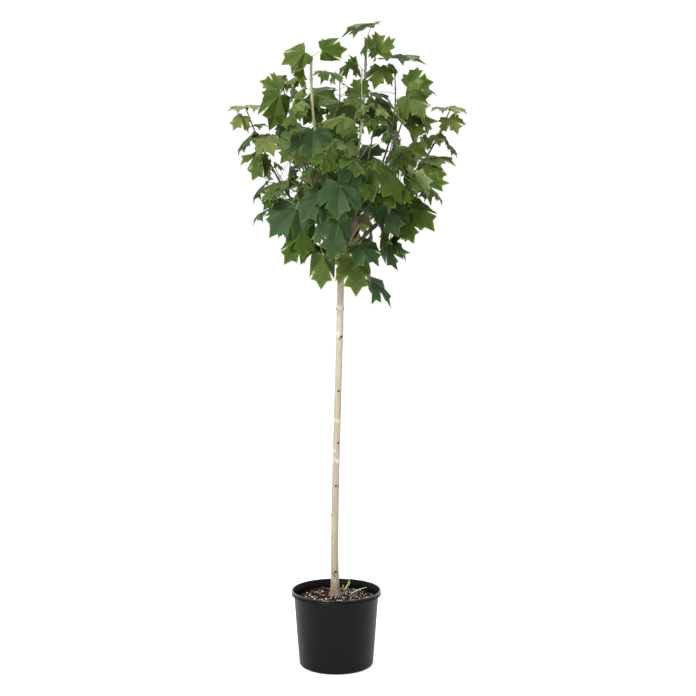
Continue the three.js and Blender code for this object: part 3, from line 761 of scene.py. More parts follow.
def trunk_radius(height):
    flare = ROOT_FLARE * np.exp(-(height - TRUNK_LOW.z) / ROOT_FLARE_HEIGHT)
    swelling = HEAD_SWELLING * bell(FORK_HEIGHT - height, HEAD_SWELLING_HEIGHT)
    return mix(TRUNK_FOOT_RADIUS, TRUNK_FORK_RADIUS, trunk_share(height)) + flare + swelling


FORK = np.array((TRUNK_HANDLES[-1], 0, FORK_HEIGHT))
HEAD_CENTRE = FORK + UP * HEAD_MIDDLE


def shoot_curve(shoot):
    start = FORK - UP * shoot.start
    end = FORK + np.array(shoot.tip)
    if shoot.sway:
        low = mix(start, end, np.array(SWAY_LOW))
        high = mix(start, end, np.array((shoot.sway, shoot.sway, SWAY_HEIGHT)))
        return Curve(start, low, high, end)
    bow = shoot.kind.bow
    return Curve(start, mix(start, end, np.array((1 - bow, 1 - bow, bow))), end)


def offshoot(along, turn, angle):
    """A direction that leaves a stem at an angle to it, on the side that the turn gives."""
    across = unit(np.cross(along, UP))
    beside = np.cross(across, along)
    turn, angle = math.radians(turn), math.radians(angle)
    sideways = across * math.cos(turn) + beside * math.sin(turn)
    return along * math.cos(angle) + sideways * math.sin(angle)


def twig_curve(carrier, share, turn, length):
    start = carrier.point(share)
    way = offshoot(carrier.tangent(share), turn, TWIG_ANGLE)
    bend = start + way * length / 2
    return Curve(start, bend, bend + way * length / 3 + UP * length / 4)


def leaf_pose(curve, place, turn, share, blade, chances, shoot):
    """Where a leaf stands and how it hangs. The share is 0 low on a shoot and 1 at its tip."""

    def spread(amount):
        return amount * (2 * next(chances) - 1)

    node = curve.point(place)
    way = offshoot(curve.tangent(place), turn, PETIOLE_ANGLE + spread(JITTER["angle"]))
    size = blade * (1 + spread(JITTER["size"]))
    petiole = size * mix(PETIOLE_SHARE_LOW, PETIOLE_SHARE_TIP, share) * (1 + spread(JITTER["length"]))
    sagging = unit(way - UP * PETIOLE_SAG)
    foot = node + (way + sagging) * petiole / 2
    pull = OUTWARD_PULL * unit((foot - HEAD_CENTRE) * (1, 1, 0))
    aim = sagging + pull
    heading = math.atan2(aim[1], aim[0]) + math.radians(spread(JITTER["heading"]))
    droop = math.radians(mix(DROOP_LOW, DROOP_TIP, share) + spread(JITTER["droop"]))
    outward = np.array((math.cos(heading), math.sin(heading), 0))
    along = outward * math.cos(droop) - UP * math.sin(droop)
    face = outward * math.sin(droop) + UP * math.cos(droop) + LIGHT * LIGHT_PULL
    face = unit(face - along * face.dot(along))
    roll = math.radians(spread(JITTER["roll"]))
    face = face * math.cos(roll) + np.cross(along, face) * math.sin(roll)
    return Leaf(node, way, foot, along, np.cross(along, face), face, size, share, shoot)


def on_blade(leaf, u, v):
    lift = BLADE_FOLD * abs(u) - BLADE_BEND * (u * u + v * v)
    return leaf.foot + leaf.size * (u * leaf.across + v * leaf.along + lift * leaf.face)


def leaf_outline(leaf, free):
    """Points and faces of a leaf's blade and petiole, from a share of the petiole on, for keeping clear."""
    half = [on_blade(leaf, u, v) for u, v in CLEAR_HALF]
    other = [on_blade(leaf, -u, v) for u, v in reversed(CLEAR_HALF)]
    rim = [on_blade(leaf, 0, 1), *half, leaf.foot, *other]
    stalk = [mix(leaf.node, leaf.foot, free), leaf.foot + leaf.across * STEM_TIP_RADIUS]
    points = np.array([on_blade(leaf, 0, BLADE_HEART), *rim, *stalk])
    count = len(rim)
    faces = [(0, 1 + k, 1 + (k + 1) % count) for k in range(count)]
    faces.append((1 + len(CLEAR_HALF) + 1, count + 1, count + 2))
    return points, faces


# The photograph's view: the camera's place, the way it looks and its focal length in pixels
CAMERA = np.array((CAMERA_SIDE, -CAMERA_DISTANCE, CAMERA_HEIGHT))
VIEW = unit(np.array((0.0, CAMERA_DISTANCE, AIM_HEIGHT - CAMERA_HEIGHT)))
VIEW_UP = np.array((0.0, -VIEW[2], VIEW[1]))
FOCAL = LENS / SENSOR * PICTURE


def picture_ray(pixel):
    """The direction from the camera through a pixel, one metre deep."""
    sideways = (pixel[0] - PICTURE / 2) / FOCAL
    downward = (pixel[1] - PICTURE / 2) / FOCAL
    ray = VIEW + np.array((sideways, 0.0, 0.0)) - downward * VIEW_UP
    return ray / ray[1]


def pixel_of(place):
    """The pixel where the photograph would show a place."""
    seen = place - CAMERA
    focal = FOCAL / seen.dot(VIEW)
    return PICTURE / 2 + focal * seen[0], PICTURE / 2 - focal * seen.dot(VIEW_UP)


def picture_place(pixel, depth):
    """The place at a depth behind the trunk that the photograph shows at a pixel."""
    return CAMERA + picture_ray(pixel) * (depth + CAMERA_DISTANCE)


def portrait_pose(portrait, curves):
    """The pose of a leaf that the photograph shows."""
    index = SHOOT_NAMES.index(portrait.shoot)
    node = curves[index].point(portrait.node)
    foot = picture_place(portrait.foot, portrait.depth)
    chord = picture_place(portrait.tip, portrait.depth + portrait.reach) - foot
    straight = unit(chord)
    right, front, upward = portrait.facing
    face = np.array((right, -front, upward))
    face = unit(face - straight * face.dot(straight))
    half = LEAF_CURL / 2
    along = straight * math.cos(half) + face * math.sin(half)
    face = face * math.cos(half) - straight * math.sin(half)
    way = unit(foot - node + UP * PORTRAIT_RISE)
    size = np.linalg.norm(chord) * half / math.sin(half)
    pose = (node, way, foot, along, np.cross(along, face), face, size)
    return Leaf(*pose, portrait.node, index, portrait.tint, portrait.cup)


class Sight:
    """Lines from the camera that no further leaf may cross, and the outline that it keeps inside."""

    def __init__(self, curves, portraits):
        spots = [np.array((TRUNK_HANDLES[-1], 0, height)) for height in SHOWN_TRUNK]
        for name, start, end in SHOWN_STRETCHES:
            spots += list(curves[SHOOT_NAMES.index(name)].points(np.linspace(start, end, SHOWN_STEPS)))
        for leaf in portraits:
            spots += [on_blade(leaf, u, v) for u, v in SHOWN_BLADE]
        self.lines = [(unit(spot - CAMERA), np.linalg.norm(spot - CAMERA) - SIGHT_SLACK) for spot in spots]
        for x, y, radius in SKY_WINDOWS:
            for dx, dy in WINDOW_SPOTS:
                way = unit(picture_ray((x + dx * radius, y + dy * radius)))
                self.lines.append((way, 2 * CAMERA_DISTANCE))

    def allows(self, points, faces):
        tree = BVHTree.FromPolygons(points.tolist(), faces)
        if any(tree.ray_cast(Vector(CAMERA), Vector(way), reach)[0] for way, reach in self.lines):
            return False
        return all(inside_outline(pixel_of(point)) for point in points[1:-2])


def inside_outline(pixel):
    """Whether a pixel lies in the head's outline, by counting the edges to its right."""
    x, y = pixel
    inside = False
    for (ax, ay), (bx, by) in zip(HEAD_OUTLINE, HEAD_OUTLINE[1:] + HEAD_OUTLINE[:1]):
        if (ay > y) != (by > y) and x < ax + (y - ay) * (bx - ax) / (by - ay):
            inside = not inside
    return inside


class Crowd:
    """What already stands in the head, so that new growth can keep clear of it."""

    def __init__(self):
        self.trees = []
        self.lows = np.zeros((0, 3))
        self.highs = np.zeros((0, 3))

    def add(self, points, faces):
        self.trees.append(BVHTree.FromPolygons(points.tolist(), faces))
        self.lows = np.vstack([self.lows, points.min(0)])
        self.highs = np.vstack([self.highs, points.max(0)])
        return len(self.trees) - 1

    def is_clear(self, points, faces, origins):
        near = (self.lows < points.max(0)) & (self.highs > points.min(0))
        own = BVHTree.FromPolygons(points.tolist(), faces)
        touched = [i for i in np.flatnonzero(near.all(1)) if i not in origins]
        return not any(own.overlap(self.trees[i]) for i in touched)


def limb_outline(limb, sides=5, steps=8):
    shares = np.linspace(limb.start, 1, steps + 1)
    radii = np.linspace(limb.radius, limb.tip_radius, steps + 1)
    return tube(limb.curve.points(shares), radii, sides)


@dataclass
class Mass:
    """One shoot's share of the head."""

    index: int
    shoot: Shoot
    curve: Curve
    others: list
    seed: int
    stem: int = 0


class Head:
    """Grows stems, twigs and leaves in the order that keeps the outline full."""

    def __init__(self):
        self.crowd = Crowd()
        self.limbs = []
        self.leaves = []
        self.sight = None

    def owns(self, mass, place):
        reach = mass.curve.distance(place) - SPACE_SLACK
        return all(other.distance(place) >= reach for other in mass.others)

    def add_limb(self, limb):
        self.limbs.append(limb)
        return self.crowd.add(*limb_outline(limb))

    def grow_twig(self, mass, carrier, origin, share, turn, length, radius, nodes):
        curve = twig_curve(carrier, share, turn, length)
        limb = Limb(curve, 0, radius, TWIG_TIP_RADIUS, mass.shoot.kind.wood, nodes)
        outline = limb_outline(limb, sides=3, steps=2)
        if not self.crowd.is_clear(*outline, [origin]) or not self.owns(mass, curve.point(1)):
            return None
        return limb, self.add_limb(limb)

    def grow_leaf(self, mass, curve, origins, at, turn, share, blade, seed):
        chances = random_from(seed)
        for attempt in range(LEAF_TRIES):
            size = blade * (1 - LEAF_SHRINK * attempt)
            leaf = leaf_pose(curve, at, turn, share, size, chances, mass.index)
            if not self.owns(mass, on_blade(leaf, 0, BLADE_HEART)):
                continue
            whole = leaf_outline(leaf, 0)
            outer = leaf_outline(leaf, PETIOLE_FREE)
            clear = self.crowd.is_clear(*whole, origins) and self.crowd.is_clear(*outer, [])
            if clear and self.sight.allows(*whole):
                origins.append(self.crowd.add(*whole))
                self.leaves.append(leaf)
                return

    def grow_leaves(self, places):
        for _, place in sorted(places, key=lambda entry: -entry[0]):
            self.grow_leaf(*place)


def shoot_nodes(shoot):
    """Place, turn, share and blade of each pair of leaves along a shoot."""
    kind = shoot.kind
    shares = np.linspace(0, 1, kind.pairs)
    return [
        (mix(FIRST_NODE, LAST_NODE, s), shoot.turn + PAIR_TURN * i, s, mix(kind.leaf, kind.tip_leaf, s))
        for i, s in enumerate(shares)
    ]


def twig_nodes(shoot, low_share, turn):
    kind = shoot.kind
    nodes = []
    for i in range(TWIG_NODES):
        along = (i + 1) / TWIG_NODES
        share = mix(low_share, 1, TWIG_AGE * along)
        blade = TWIG_LEAF * mix(kind.leaf, kind.tip_leaf, share)
        nodes.append((LAST_NODE * along, turn + PAIR_TURN * i, share, blade))
    return nodes


def leaf_places(mass, curve, carrier, nodes, seed):
    """The leaves of each pair, as the places where they would grow. A pair's petioles may touch."""
    places = []
    for i, (at, turn, share, blade) in enumerate(nodes):
        origins = [carrier]
        reach = np.linalg.norm(curve.point(at) - HEAD_CENTRE)
        for side in range(2):
            rest = (at, turn + 180 * side, share, blade, seed + i * PAIR_SEEDS + side)
            places.append((reach, (mass, curve, origins, *rest)))
    return places


# Finer growth than the part's solids hold
TWIGLET_SHARE = 0.5  # of its twig's length
TWIGLET_PLACES = (0.3, 0.72)
TWIGLET_LEAF = 0.62
TWIGLET_RADIUS = 0.0014
TIP_PAIR_LEAF = 0.5
BETWEEN_LEAF = 0.86
BETWEEN_PAIRS = (0.5,)  # where single pairs stand between two pairs of a shoot
BETWEEN_BACK_PAIRS = (0.3, 0.6, 0.9)
BACK_SHOOT = 0.1  # a shoot whose tip lies further back than this gets the closer pairs
BARE_SHARES = np.linspace(0.15, 1, 60)  # where a twig is searched for leaves
BARE_REACH = 0.003

# Seeds: how many a mass, a side twig, a twiglet and a pair take up, and where each kind of growth starts
MASS_SEEDS = 1000
TWIG_SEEDS = 100
TWIGLET_SEEDS = 20
PAIR_SEEDS = 10
FIRST_BETWEEN_SEED = 300
FIRST_TWIG_SEED = 500
FIRST_TIP_SEED = 900
FIRST_TWIGLET_SEED = 50

# Rings and sides of trunk and boughs for keeping clear of them
CLEAR_TRUNK_RINGS, CLEAR_TRUNK_SIDES = 20, 12
CLEAR_BOUGH_RINGS, CLEAR_BOUGH_SIDES = 5, 6


@lru_cache(maxsize=1)
def grown_head():
    """The whole head: every stem, then every side twig, then the leaves, those furthest out first."""
    head = Head()
    heights = np.linspace(TRUNK_LOW.z, FORK_HEIGHT, CLEAR_TRUNK_RINGS)
    axis = trunk_curve().at_times(np.linspace(0, 1, CLEAR_TRUNK_RINGS))
    head.crowd.add(*tube(axis, trunk_radius(heights), CLEAR_TRUNK_SIDES))
    curves = [shoot_curve(shoot) for shoot in SHOOTS]
    for curve in curves:
        shares = np.linspace(0, BOUGH_SHARE, CLEAR_BOUGH_RINGS)
        radii = np.linspace(BOUGH_RADIUS, STEM_RADIUS, CLEAR_BOUGH_RINGS)
        head.crowd.add(*tube(curve.points(shares), radii, CLEAR_BOUGH_SIDES))
    masses = []
    for index, (shoot, curve) in enumerate(zip(SHOOTS, curves)):
        others = [other for other in curves if other is not curve]
        mass = Mass(index, shoot, curve, others, SEED + index * MASS_SEEDS)
        nodes = [node[0] for node in shoot_nodes(shoot)]
        limb = Limb(curve, BOUGH_SHARE, STEM_RADIUS, STEM_TIP_RADIUS, shoot.kind.wood, nodes)
        if shoot.kind.wood == PALE_WOOD:
            limb.tip_radius = LEADER_TIP_RADIUS
        mass.stem = head.add_limb(limb)
        masses.append(mass)
    portraits = [portrait_pose(portrait, curves) for portrait in PORTRAIT]
    for leaf in portraits:
        head.crowd.add(*leaf_outline(leaf, PETIOLE_FREE))
        head.leaves.append(leaf)
    head.sight = Sight(curves, portraits)
    places = []
    twigs = []
    for mass in masses:
        nodes = shoot_nodes(mass.shoot)
        places += leaf_places(mass, mass.curve, mass.stem, nodes, mass.seed)
        for k in range(mass.shoot.kind.twigs):
            at, _, share, _ = nodes[1 + k]
            turn = mass.shoot.turn + TWIG_TURN * (k + 0.5)
            length = mass.curve.length * TWIG_SHARE
            twig_pairs = twig_nodes(mass.shoot, share, turn)
            rest = (at + TWIG_LIFT, turn, length, TWIG_RADIUS, [pair[0] for pair in twig_pairs])
            grown = head.grow_twig(mass, mass.curve, mass.stem, *rest)
            if grown:
                limb, carrier = grown
                twig_seed = mass.seed + FIRST_TWIG_SEED + k * TWIG_SEEDS
                twigs.append((mass, limb, carrier, share, turn, twig_seed))
                places += leaf_places(mass, limb.curve, carrier, twig_pairs, twig_seed)
    head.grow_leaves(places)
    grow_finer(head, masses, twigs)
    shed_bare_twigs(head)
    return head


def grow_finer(head, masses, twigs):
    """Leaves between the pairs, twiglets with small leaves on side twigs, and a young pair at each tip."""
    places = []
    for mass in masses:
        pairs = shoot_nodes(mass.shoot)
        steps = BETWEEN_BACK_PAIRS if mass.shoot.tip[1] > BACK_SHOOT else BETWEEN_PAIRS
        between = []
        for low, high in zip(pairs, pairs[1:]):
            for step in steps:
                at, share = mix(low[0], high[0], step), mix(low[2], high[2], step)
                between.append((at, low[1] + PAIR_TURN * step, share, BETWEEN_LEAF * low[3]))
        places += leaf_places(mass, mass.curve, mass.stem, between, mass.seed + FIRST_BETWEEN_SEED)
    for mass, twig, carrier, share, turn, seed in twigs:
        kind = mass.shoot.kind
        for k, at in enumerate(TWIGLET_PLACES):
            length = twig.curve.length * TWIGLET_SHARE
            blade = TWIGLET_LEAF * mix(kind.leaf, kind.tip_leaf, share)
            rest = (at, turn + TWIG_TURN * (k + 1), length, TWIGLET_RADIUS, [LAST_NODE])
            grown = head.grow_twig(mass, twig.curve, carrier, *rest)
            if grown:
                limb, own = grown
                pair = [(LAST_NODE, turn + PAIR_TURN, mix(share, 1, TWIG_AGE), blade)]
                pair_seed = seed + FIRST_TWIGLET_SEED + k * TWIGLET_SEEDS
                places += leaf_places(mass, limb.curve, own, pair, pair_seed)
    for mass in masses:
        kind = mass.shoot.kind
        turn = mass.shoot.turn + PAIR_TURN * kind.pairs
        pair = [(1.0, turn, 1.0, TIP_PAIR_LEAF * kind.tip_leaf)]
        places += leaf_places(mass, mass.curve, mass.stem, pair, mass.seed + FIRST_TIP_SEED)
    head.grow_leaves(places)


def shed_bare_twigs(head):
    """Takes off the twigs that bear neither a leaf nor another twig, the finest first."""
    borne = [leaf.node for leaf in head.leaves]
    kept = []
    for limb in reversed(head.limbs[len(SHOOTS):]):
        line = limb.curve.points(BARE_SHARES)
        if np.linalg.norm(line[:, None] - np.array(borne), axis=2).min() < BARE_REACH:
            kept.append(limb)
            borne.append(limb.curve.point(0))
    head.limbs[len(SHOOTS):] = reversed(kept)


# Settings


def length_setting(name, description, default, least=0.0):
    return FloatProperty(name=name, description=description, default=default, min=least, unit="LENGTH")


def share_setting(name, description, default, most=1.0):
    return FloatProperty(name=name, description=description, default=default, min=0.0, max=most)


def density_setting(name, description, default):
    return FloatProperty(name=name, description=description, default=default, min=0.0)


def colour_setting(name, description, default):
    return FloatVectorProperty(name=name, description=description, default=default, subtype="COLOR")


class MaplePotSettings(bpy.types.PropertyGroup):
    """Sizes and colour of the nursery pot"""

    wall: length_setting("Wall", "Thickness of the pot's wall", 0.002, 0.001)
    lip_height: length_setting("Lip height", "Height of the rolled lip", 0.015, 0.005)
    colour: colour_setting("Plastic", "Colour of the pot", (0.002, 0.0021, 0.0026))


class MapleSoilSettings(bpy.types.PropertyGroup):
    """Sizes and colours of the potting mix"""

    lumps: length_setting("Lumps", "How far the surface rises and falls", 0.006)
    chip_density: density_setting("Bark chips", "Bark chips on a square metre of the mix", 6500.0)
    perlite_density: density_setting("Perlite", "Perlite grains on a square metre of the mix", 9000.0)
    fibre_density: density_setting("Fibres", "Pale fibres on a square metre of the mix", 5600.0)
    peat: colour_setting("Peat", "Colour of the fine mix", (0.016, 0.009, 0.005))
    chip: colour_setting("Chips", "Colour of the bark chips", (0.105, 0.052, 0.028))
    perlite: colour_setting("Perlite", "Colour of the perlite", (0.8, 0.76, 0.68))
    straw: colour_setting("Straw", "Colour of straw and fibres", (0.84, 0.74, 0.57))
    moss: colour_setting("Moss", "Colour of the moss", (0.17, 0.17, 0.035))
    seedling: colour_setting("Seedling", "Colour of the seedling", (0.4, 0.43, 0.12))


class MapleBarkSettings(bpy.types.PropertyGroup):
    """Relief and colours of trunk, boughs and shoots"""

    voxel: length_setting("Mesh size", "Size of the bark mesh's faces", 0.0015)
    relief: length_setting("Relief", "Height of the bark's own grain", 0.00035)
    pale: colour_setting("Pale bark", "Colour of the trunk", (0.37, 0.325, 0.265))
    foot: colour_setting("Foot", "Colour of the trunk's foot", (0.25, 0.135, 0.078))
    # This colour also paints the shade on the left side of the trunk's head
    scar: colour_setting("Scars", "Colour of knots and scars", (0.022, 0.012, 0.008))
    dark_shoot: colour_setting("Dark shoots", "Colour of the thin shoots", (0.042, 0.038, 0.023))
    pale_shoot: colour_setting("Pale shoots", "Colour of the leaders", (0.45, 0.47, 0.25))


class MapleLeafSettings(bpy.types.PropertyGroup):
    """Shape and colours of the leaves"""

    curl: FloatProperty(
        name="Curl", description="How far a blade bends along its midrib", default=LEAF_CURL, subtype="ANGLE"
    )
    fold: share_setting("Fold", "Rise of a blade's halves over their width", 0.12)
    ripple: share_setting("Ripple", "Waviness of the blade's halves", 0.07, 0.5)
    pleat: share_setting("Pleat", "Rise of a lobe's halves from its vein", 0.3)
    # painted shade: the deep green is darker than an old leaf's own green, with a bluish painted sheen
    deep: colour_setting("Deep green", "Colour of old leaves", (0.026, 0.051, 0.0172))
    full: colour_setting("Full green", "Colour of grown leaves", (0.034, 0.061, 0.008))
    fresh: colour_setting("Fresh green", "Colour of upper leaves", (0.055, 0.083, 0.015))
    young: colour_setting("Young green", "Colour of the leaves at the side tips", (0.092, 0.114, 0.03))
    olive: colour_setting("Olive green", "Colour of the leaf seen against the light", (0.105, 0.108, 0.007))
    petiole: colour_setting("Petioles", "Colour of the leaf stalks", (0.15, 0.18, 0.045))


class MapleStageSettings(bpy.types.PropertyGroup):
    """Camera and light"""

    distance: length_setting("Distance", "From the camera to the trunk", CAMERA_DISTANCE)
    height: length_setting("Height", "Height of the camera", CAMERA_HEIGHT)
    lens: FloatProperty(name="Lens", description="Focal length", default=LENS, unit="CAMERA")
    daylight: FloatProperty(name="Daylight", description="Strength of the even white light", default=1.03)


# Pot


POT_SEGMENTS = 144
POT_BASE = 0.115  # radius of the base
POT_CORNER = 0.008  # radius of the base's rounded edge
POT_FLOOR = 0.003  # thickness of the base
WALL_TOP = 0.132  # radius of the wall below the lip
LIP_FILLET = 0.0015
LIP_EDGE = 0.0018  # radius of the lip's lower edge
LIP_BEAD = 0.003  # radius of the bead round the rim
GROOVE_DEPTH = 0.0022
GROOVE_HEIGHTS = (0.0096, 0.008, 0.0064)  # below the rim: where it turns in, its lower and its upper edge
LUG_WIDTH = 0.013  # a moulded lug hangs from the front of the lip
LUG_DROP = 0.006
LUG_PLACE = -0.01
LUG_RADIUS = 0.1335  # only what lies further out belongs to it
LUG_BELOW, LUG_ABOVE = 0.004, 0.003  # how much of the lip's foot belongs to it


def pot_profile(settings):
    """The pot's section: flat underside, straight wall, lip with a groove and a bead, and the inside."""
    height = POT_HIGH.z
    rim = POT_HIGH.x
    lip_foot = height - settings.lip_height
    inside_top = WALL_TOP - settings.wall
    inside_base = POT_BASE - settings.wall
    turn_in, groove_low, groove_high = GROOVE_HEIGHTS
    return [
        (0, 0),
        (POT_BASE * 0.5, 0),
        (POT_BASE - POT_CORNER - 0.002, 0),
        *arc((POT_BASE - POT_CORNER, POT_CORNER), POT_CORNER, -90, 0, 8),
        (mix(POT_BASE, WALL_TOP, 0.33), lip_foot * 0.33),
        (mix(POT_BASE, WALL_TOP, 0.66), lip_foot * 0.66),
        (mix(POT_BASE, WALL_TOP, 0.97), lip_foot - 0.005),
        *arc((WALL_TOP + LIP_FILLET, lip_foot - LIP_FILLET), LIP_FILLET, 180, 90, 4),
        *arc((rim - 0.002, lip_foot + LIP_EDGE), LIP_EDGE, -90, 10, 5),
        (rim - 0.0002, height - turn_in),
        (rim - GROOVE_DEPTH, height - groove_low),
        (rim - GROOVE_DEPTH, height - groove_high),
        *arc((rim - LIP_BEAD, height - LIP_BEAD), LIP_BEAD, -40, 172, 14),
        (rim - 2 * LIP_BEAD - 0.0005, height - 0.0075),
        (inside_top + 0.0004, height - 0.013),
        (inside_top - 0.0002, height - 0.016),
        (mix(inside_base, inside_top, 0.5), lip_foot * 0.5),
        (inside_base, POT_CORNER),
        (POT_BASE - POT_CORNER, POT_FLOOR),
        (0, POT_FLOOR),
    ]


def pot_plastic(settings):
    """Black plastic with grey dust on scuffs near the floor, faint painted highlight at the rim, a shinier
    lip and a glossy rim.
    """
    finish = {"Specular_IOR_Level": 0.1, "Coat_Roughness": 0.1}
    material, nodes, shader = new_material("pot_plastic", settings.colour, 0.42, **finish)
    place = object_place(nodes)
    cloudy = nodes.noise(place, 26.0, 4.0)
    scuffs = nodes.noise(object_place(nodes, (1.0, 1.0, 7.0)), 34.0, 6.0, 0.65)
    height = height_of(nodes, place) / POT_HIGH.z
    # grey near the floor is dust on scuffs; the faint grey at the rim is painted highlight
    dust_and_sheen_heights = nodes.ramp(height, (0.0, 1.0), (0.09, 0.1), (0.86, 0.0), (0.97, 0.1))
    dust_and_sheen = nodes.ramp(scuffs, (0.42, 0.0), (0.8, 1.0)) * dust_and_sheen_heights
    grey = tuple(channel * 2.6 + 0.001 for channel in settings.colour)
    feed(nodes, shader, Base_Color=nodes.mix_colours(dust_and_sheen * 0.55, rgba(settings.colour), rgba(grey)))
    worn = nodes.ramp(height, (0.0, 0.42), (0.94, 0.4), (0.985, 0.24), (1.0, 0.2))
    rim = nodes.ramp(height, (0.986, 0.0), (0.996, 1.0))
    feed(nodes, shader, Roughness=worn + cloudy * 0.08 + dust_and_sheen * 0.12, Coat_Weight=rim)
    grain = nodes.noise(place, 900.0, 2.0)
    bumped(nodes, shader, grain + scuffs * 0.6, 0.00012)
    return material


class MAPLE_OT_pot(bpy.types.Operator):
    """Builds the black nursery pot with its rolled lip"""

    bl_idname = "maple.pot"
    bl_label = "Nursery Pot"

    def execute(self, context):
        settings = context.scene.maple_pot
        points, faces = lathe(pot_profile(settings), POT_SEGMENTS)
        out = np.hypot(points[:, 0], points[:, 1])
        lip_foot = POT_HIGH.z - settings.lip_height
        above = points[:, 2] - lip_foot
        under_lip = (out > LUG_RADIUS) & (above < LUG_ABOVE) & (above > -LUG_BELOW)
        lug = under_lip & (points[:, 1] < 0)
        points[lug, 2] -= LUG_DROP * np.exp(-(((points[lug, 0] - LUG_PLACE) / LUG_WIDTH) ** 4))
        pot = add_mesh("nursery_pot", points, faces)
        finish_piece(pot, "pot_plastic", "pot", material=pot_plastic(settings))
        return {"FINISHED"}


# Potting mix


SOIL_RINGS = 44
SOIL_SEGMENTS = 120
SOIL_EDGE = 0.01  # width of the sunk edge along the pot
SOIL_EDGE_DROP = 0.006
SOIL_TAPER = 0.016  # how much narrower the mix is at its bottom
SOIL_NOISE = ((1.0, 34.0, 3.1), (0.6, 85.0, 7.7), (0.35, 210.0, 1.3))  # strength, scale and seed
TRUNK_HEAP = 0.007  # the mix is heaped a little round the trunk's foot
TRUNK_HEAP_WIDTH = 0.026
PEAT_SHADE = (0.003, 0.0016, 0.0008)
PEAT_LIGHT = (0.062, 0.036, 0.02)

# Lumps of each kind that is strewn on the mix: name, half sizes, roughness and seed
CHIPS = (
    ("chip_broad", (0.0062, 0.0036, 0.0014), 0.5, 2.0),
    ("chip_slim", (0.0085, 0.0019, 0.0012), 0.4, 5.0),
    ("chip_stout", (0.004, 0.003, 0.002), 0.5, 8.0),
)
PERLITE = (
    ("grain_round", (0.0031, 0.0028, 0.0024), 0.5, 3.0),
    ("grain_long", (0.0042, 0.0021, 0.0019), 0.5, 6.0),
)
FIBRES = (
    ("thread_long", (0.0085, 0.0006, 0.0006), 0.5, 4.0),
    ("thread_short", (0.005, 0.0008, 0.0006), 0.5, 9.0),
)
MOSS = (("cushion", (0.0034, 0.003, 0.0024), 0.6, 1.0),)

# How each kind lies: its tilt in radians, its smallest size as a share, and its seed
CHIPS_LIE = (0.55, 0.35, 11)
PERLITE_LIES = (1.2, 0.2, 23)
FIBRES_LIE = (0.5, 0.5, 31)
MOSS_LIES = (0.6, 0.3, 47)
MOSS_DENSITY = 3  # times the chips' density


def soil_height(points, lumps):
    """Height of the mix at each place, from its lumps, its sunk edge and the heap at the trunk."""
    out = np.hypot(points[:, 0], points[:, 1])
    rough = sum(strength * noise_at(points, scale, seed) for strength, scale, seed in SOIL_NOISE)
    away = np.hypot(points[:, 0] - TRUNK_HANDLES[0], points[:, 1])
    heap = TRUNK_HEAP * bell(away, TRUNK_HEAP_WIDTH)
    edge = np.clip((out - (SOIL_HIGH.x - SOIL_EDGE)) / SOIL_EDGE, 0, 1)
    return SOIL_HIGH.z + lumps * rough * (1 - edge) + heap - SOIL_EDGE_DROP * edge


def soil_surface(lumps):
    """Points and faces of the mix's lumpy top, out to the pot's wall."""
    radii = np.linspace(0, SOIL_HIGH.x, SOIL_RINGS + 1)[1:]
    angles = np.arange(SOIL_SEGMENTS) * 2 * math.pi / SOIL_SEGMENTS
    rows = [(0, 0, 0)] + [(r * math.cos(a), r * math.sin(a), 0) for r in radii for a in angles]
    points = np.array(rows)
    points[:, 2] = soil_height(points, lumps)
    faces = []
    for k in range(SOIL_SEGMENTS):
        after = (k + 1) % SOIL_SEGMENTS
        faces.append((0, 1 + k, 1 + after))
        for ring in range(SOIL_RINGS - 1):
            a, b = 1 + ring * SOIL_SEGMENTS + k, 1 + ring * SOIL_SEGMENTS + after
            faces.append((a, a + SOIL_SEGMENTS, b + SOIL_SEGMENTS, b))
    return points, faces


def soil_body(lumps):
    """The whole body of the mix: the lumpy top closed by its side and bottom in the pot."""
    points, faces = soil_surface(lumps)
    rim = 1 + (SOIL_RINGS - 1) * SOIL_SEGMENTS
    share = 1 - SOIL_TAPER / SOIL_HIGH.x
    low = [(x * share, y * share, SOIL_LOW.z) for x, y, _ in points[rim:]]
    first = len(points)
    points = np.vstack([points, low, [(0, 0, SOIL_LOW.z)]])
    for k in range(SOIL_SEGMENTS):
        after = (k + 1) % SOIL_SEGMENTS
        faces.append((rim + after, rim + k, first + k, first + after))
        faces.append((first + after, first + k, first + SOIL_SEGMENTS))
    return points, faces


def peat_material(settings):
    material, nodes, shader = new_material("peat", settings.peat, 0.95, Specular_IOR_Level=0.05)
    place = object_place(nodes)
    crumbs = nodes.noise(place, 330.0, 5.0, 0.65)
    patches = nodes.noise(place, 60.0, 2.0)
    shade = crumbs * 0.7 + patches * 0.3
    tone = nodes.ramp(shade, (0.36, PEAT_SHADE), (0.52, settings.peat), (0.7, PEAT_LIGHT))
    feed(nodes, shader, Base_Color=tone)
    bumped(nodes, shader, crumbs, 0.0022)
    return material


def flake_material(name, colour, roughness, contrast):
    """A piece of bark, straw or grain whose tone varies by place."""
    material, nodes, shader = new_material(name, colour, roughness, Specular_IOR_Level=0.1)
    place = object_place(nodes)
    shade = nodes.noise(place, 160.0, 4.0)
    dark = tuple(channel * (1 - contrast) for channel in colour)
    light = tuple(min(1.0, channel * (1 + contrast)) for channel in colour)
    feed(nodes, shader, Base_Color=nodes.ramp(shade, (0.3, dark), (0.7, light)))
    bumped(nodes, shader, nodes.noise(place, 700.0, 3.0), 0.0006)
    return material


def lump(name, scale, rough, seed):
    """A small closed lump with an uneven skin, for grains and chips."""
    points, faces = lathe([(0, -1), *arc((0, 0), 1, -54, 54, 3), (0, 1)], 7)
    points = points * (1 + rough * noise_at(points, 1.4, seed)[:, None])
    return add_mesh(name, points * scale, faces, smooth=False)


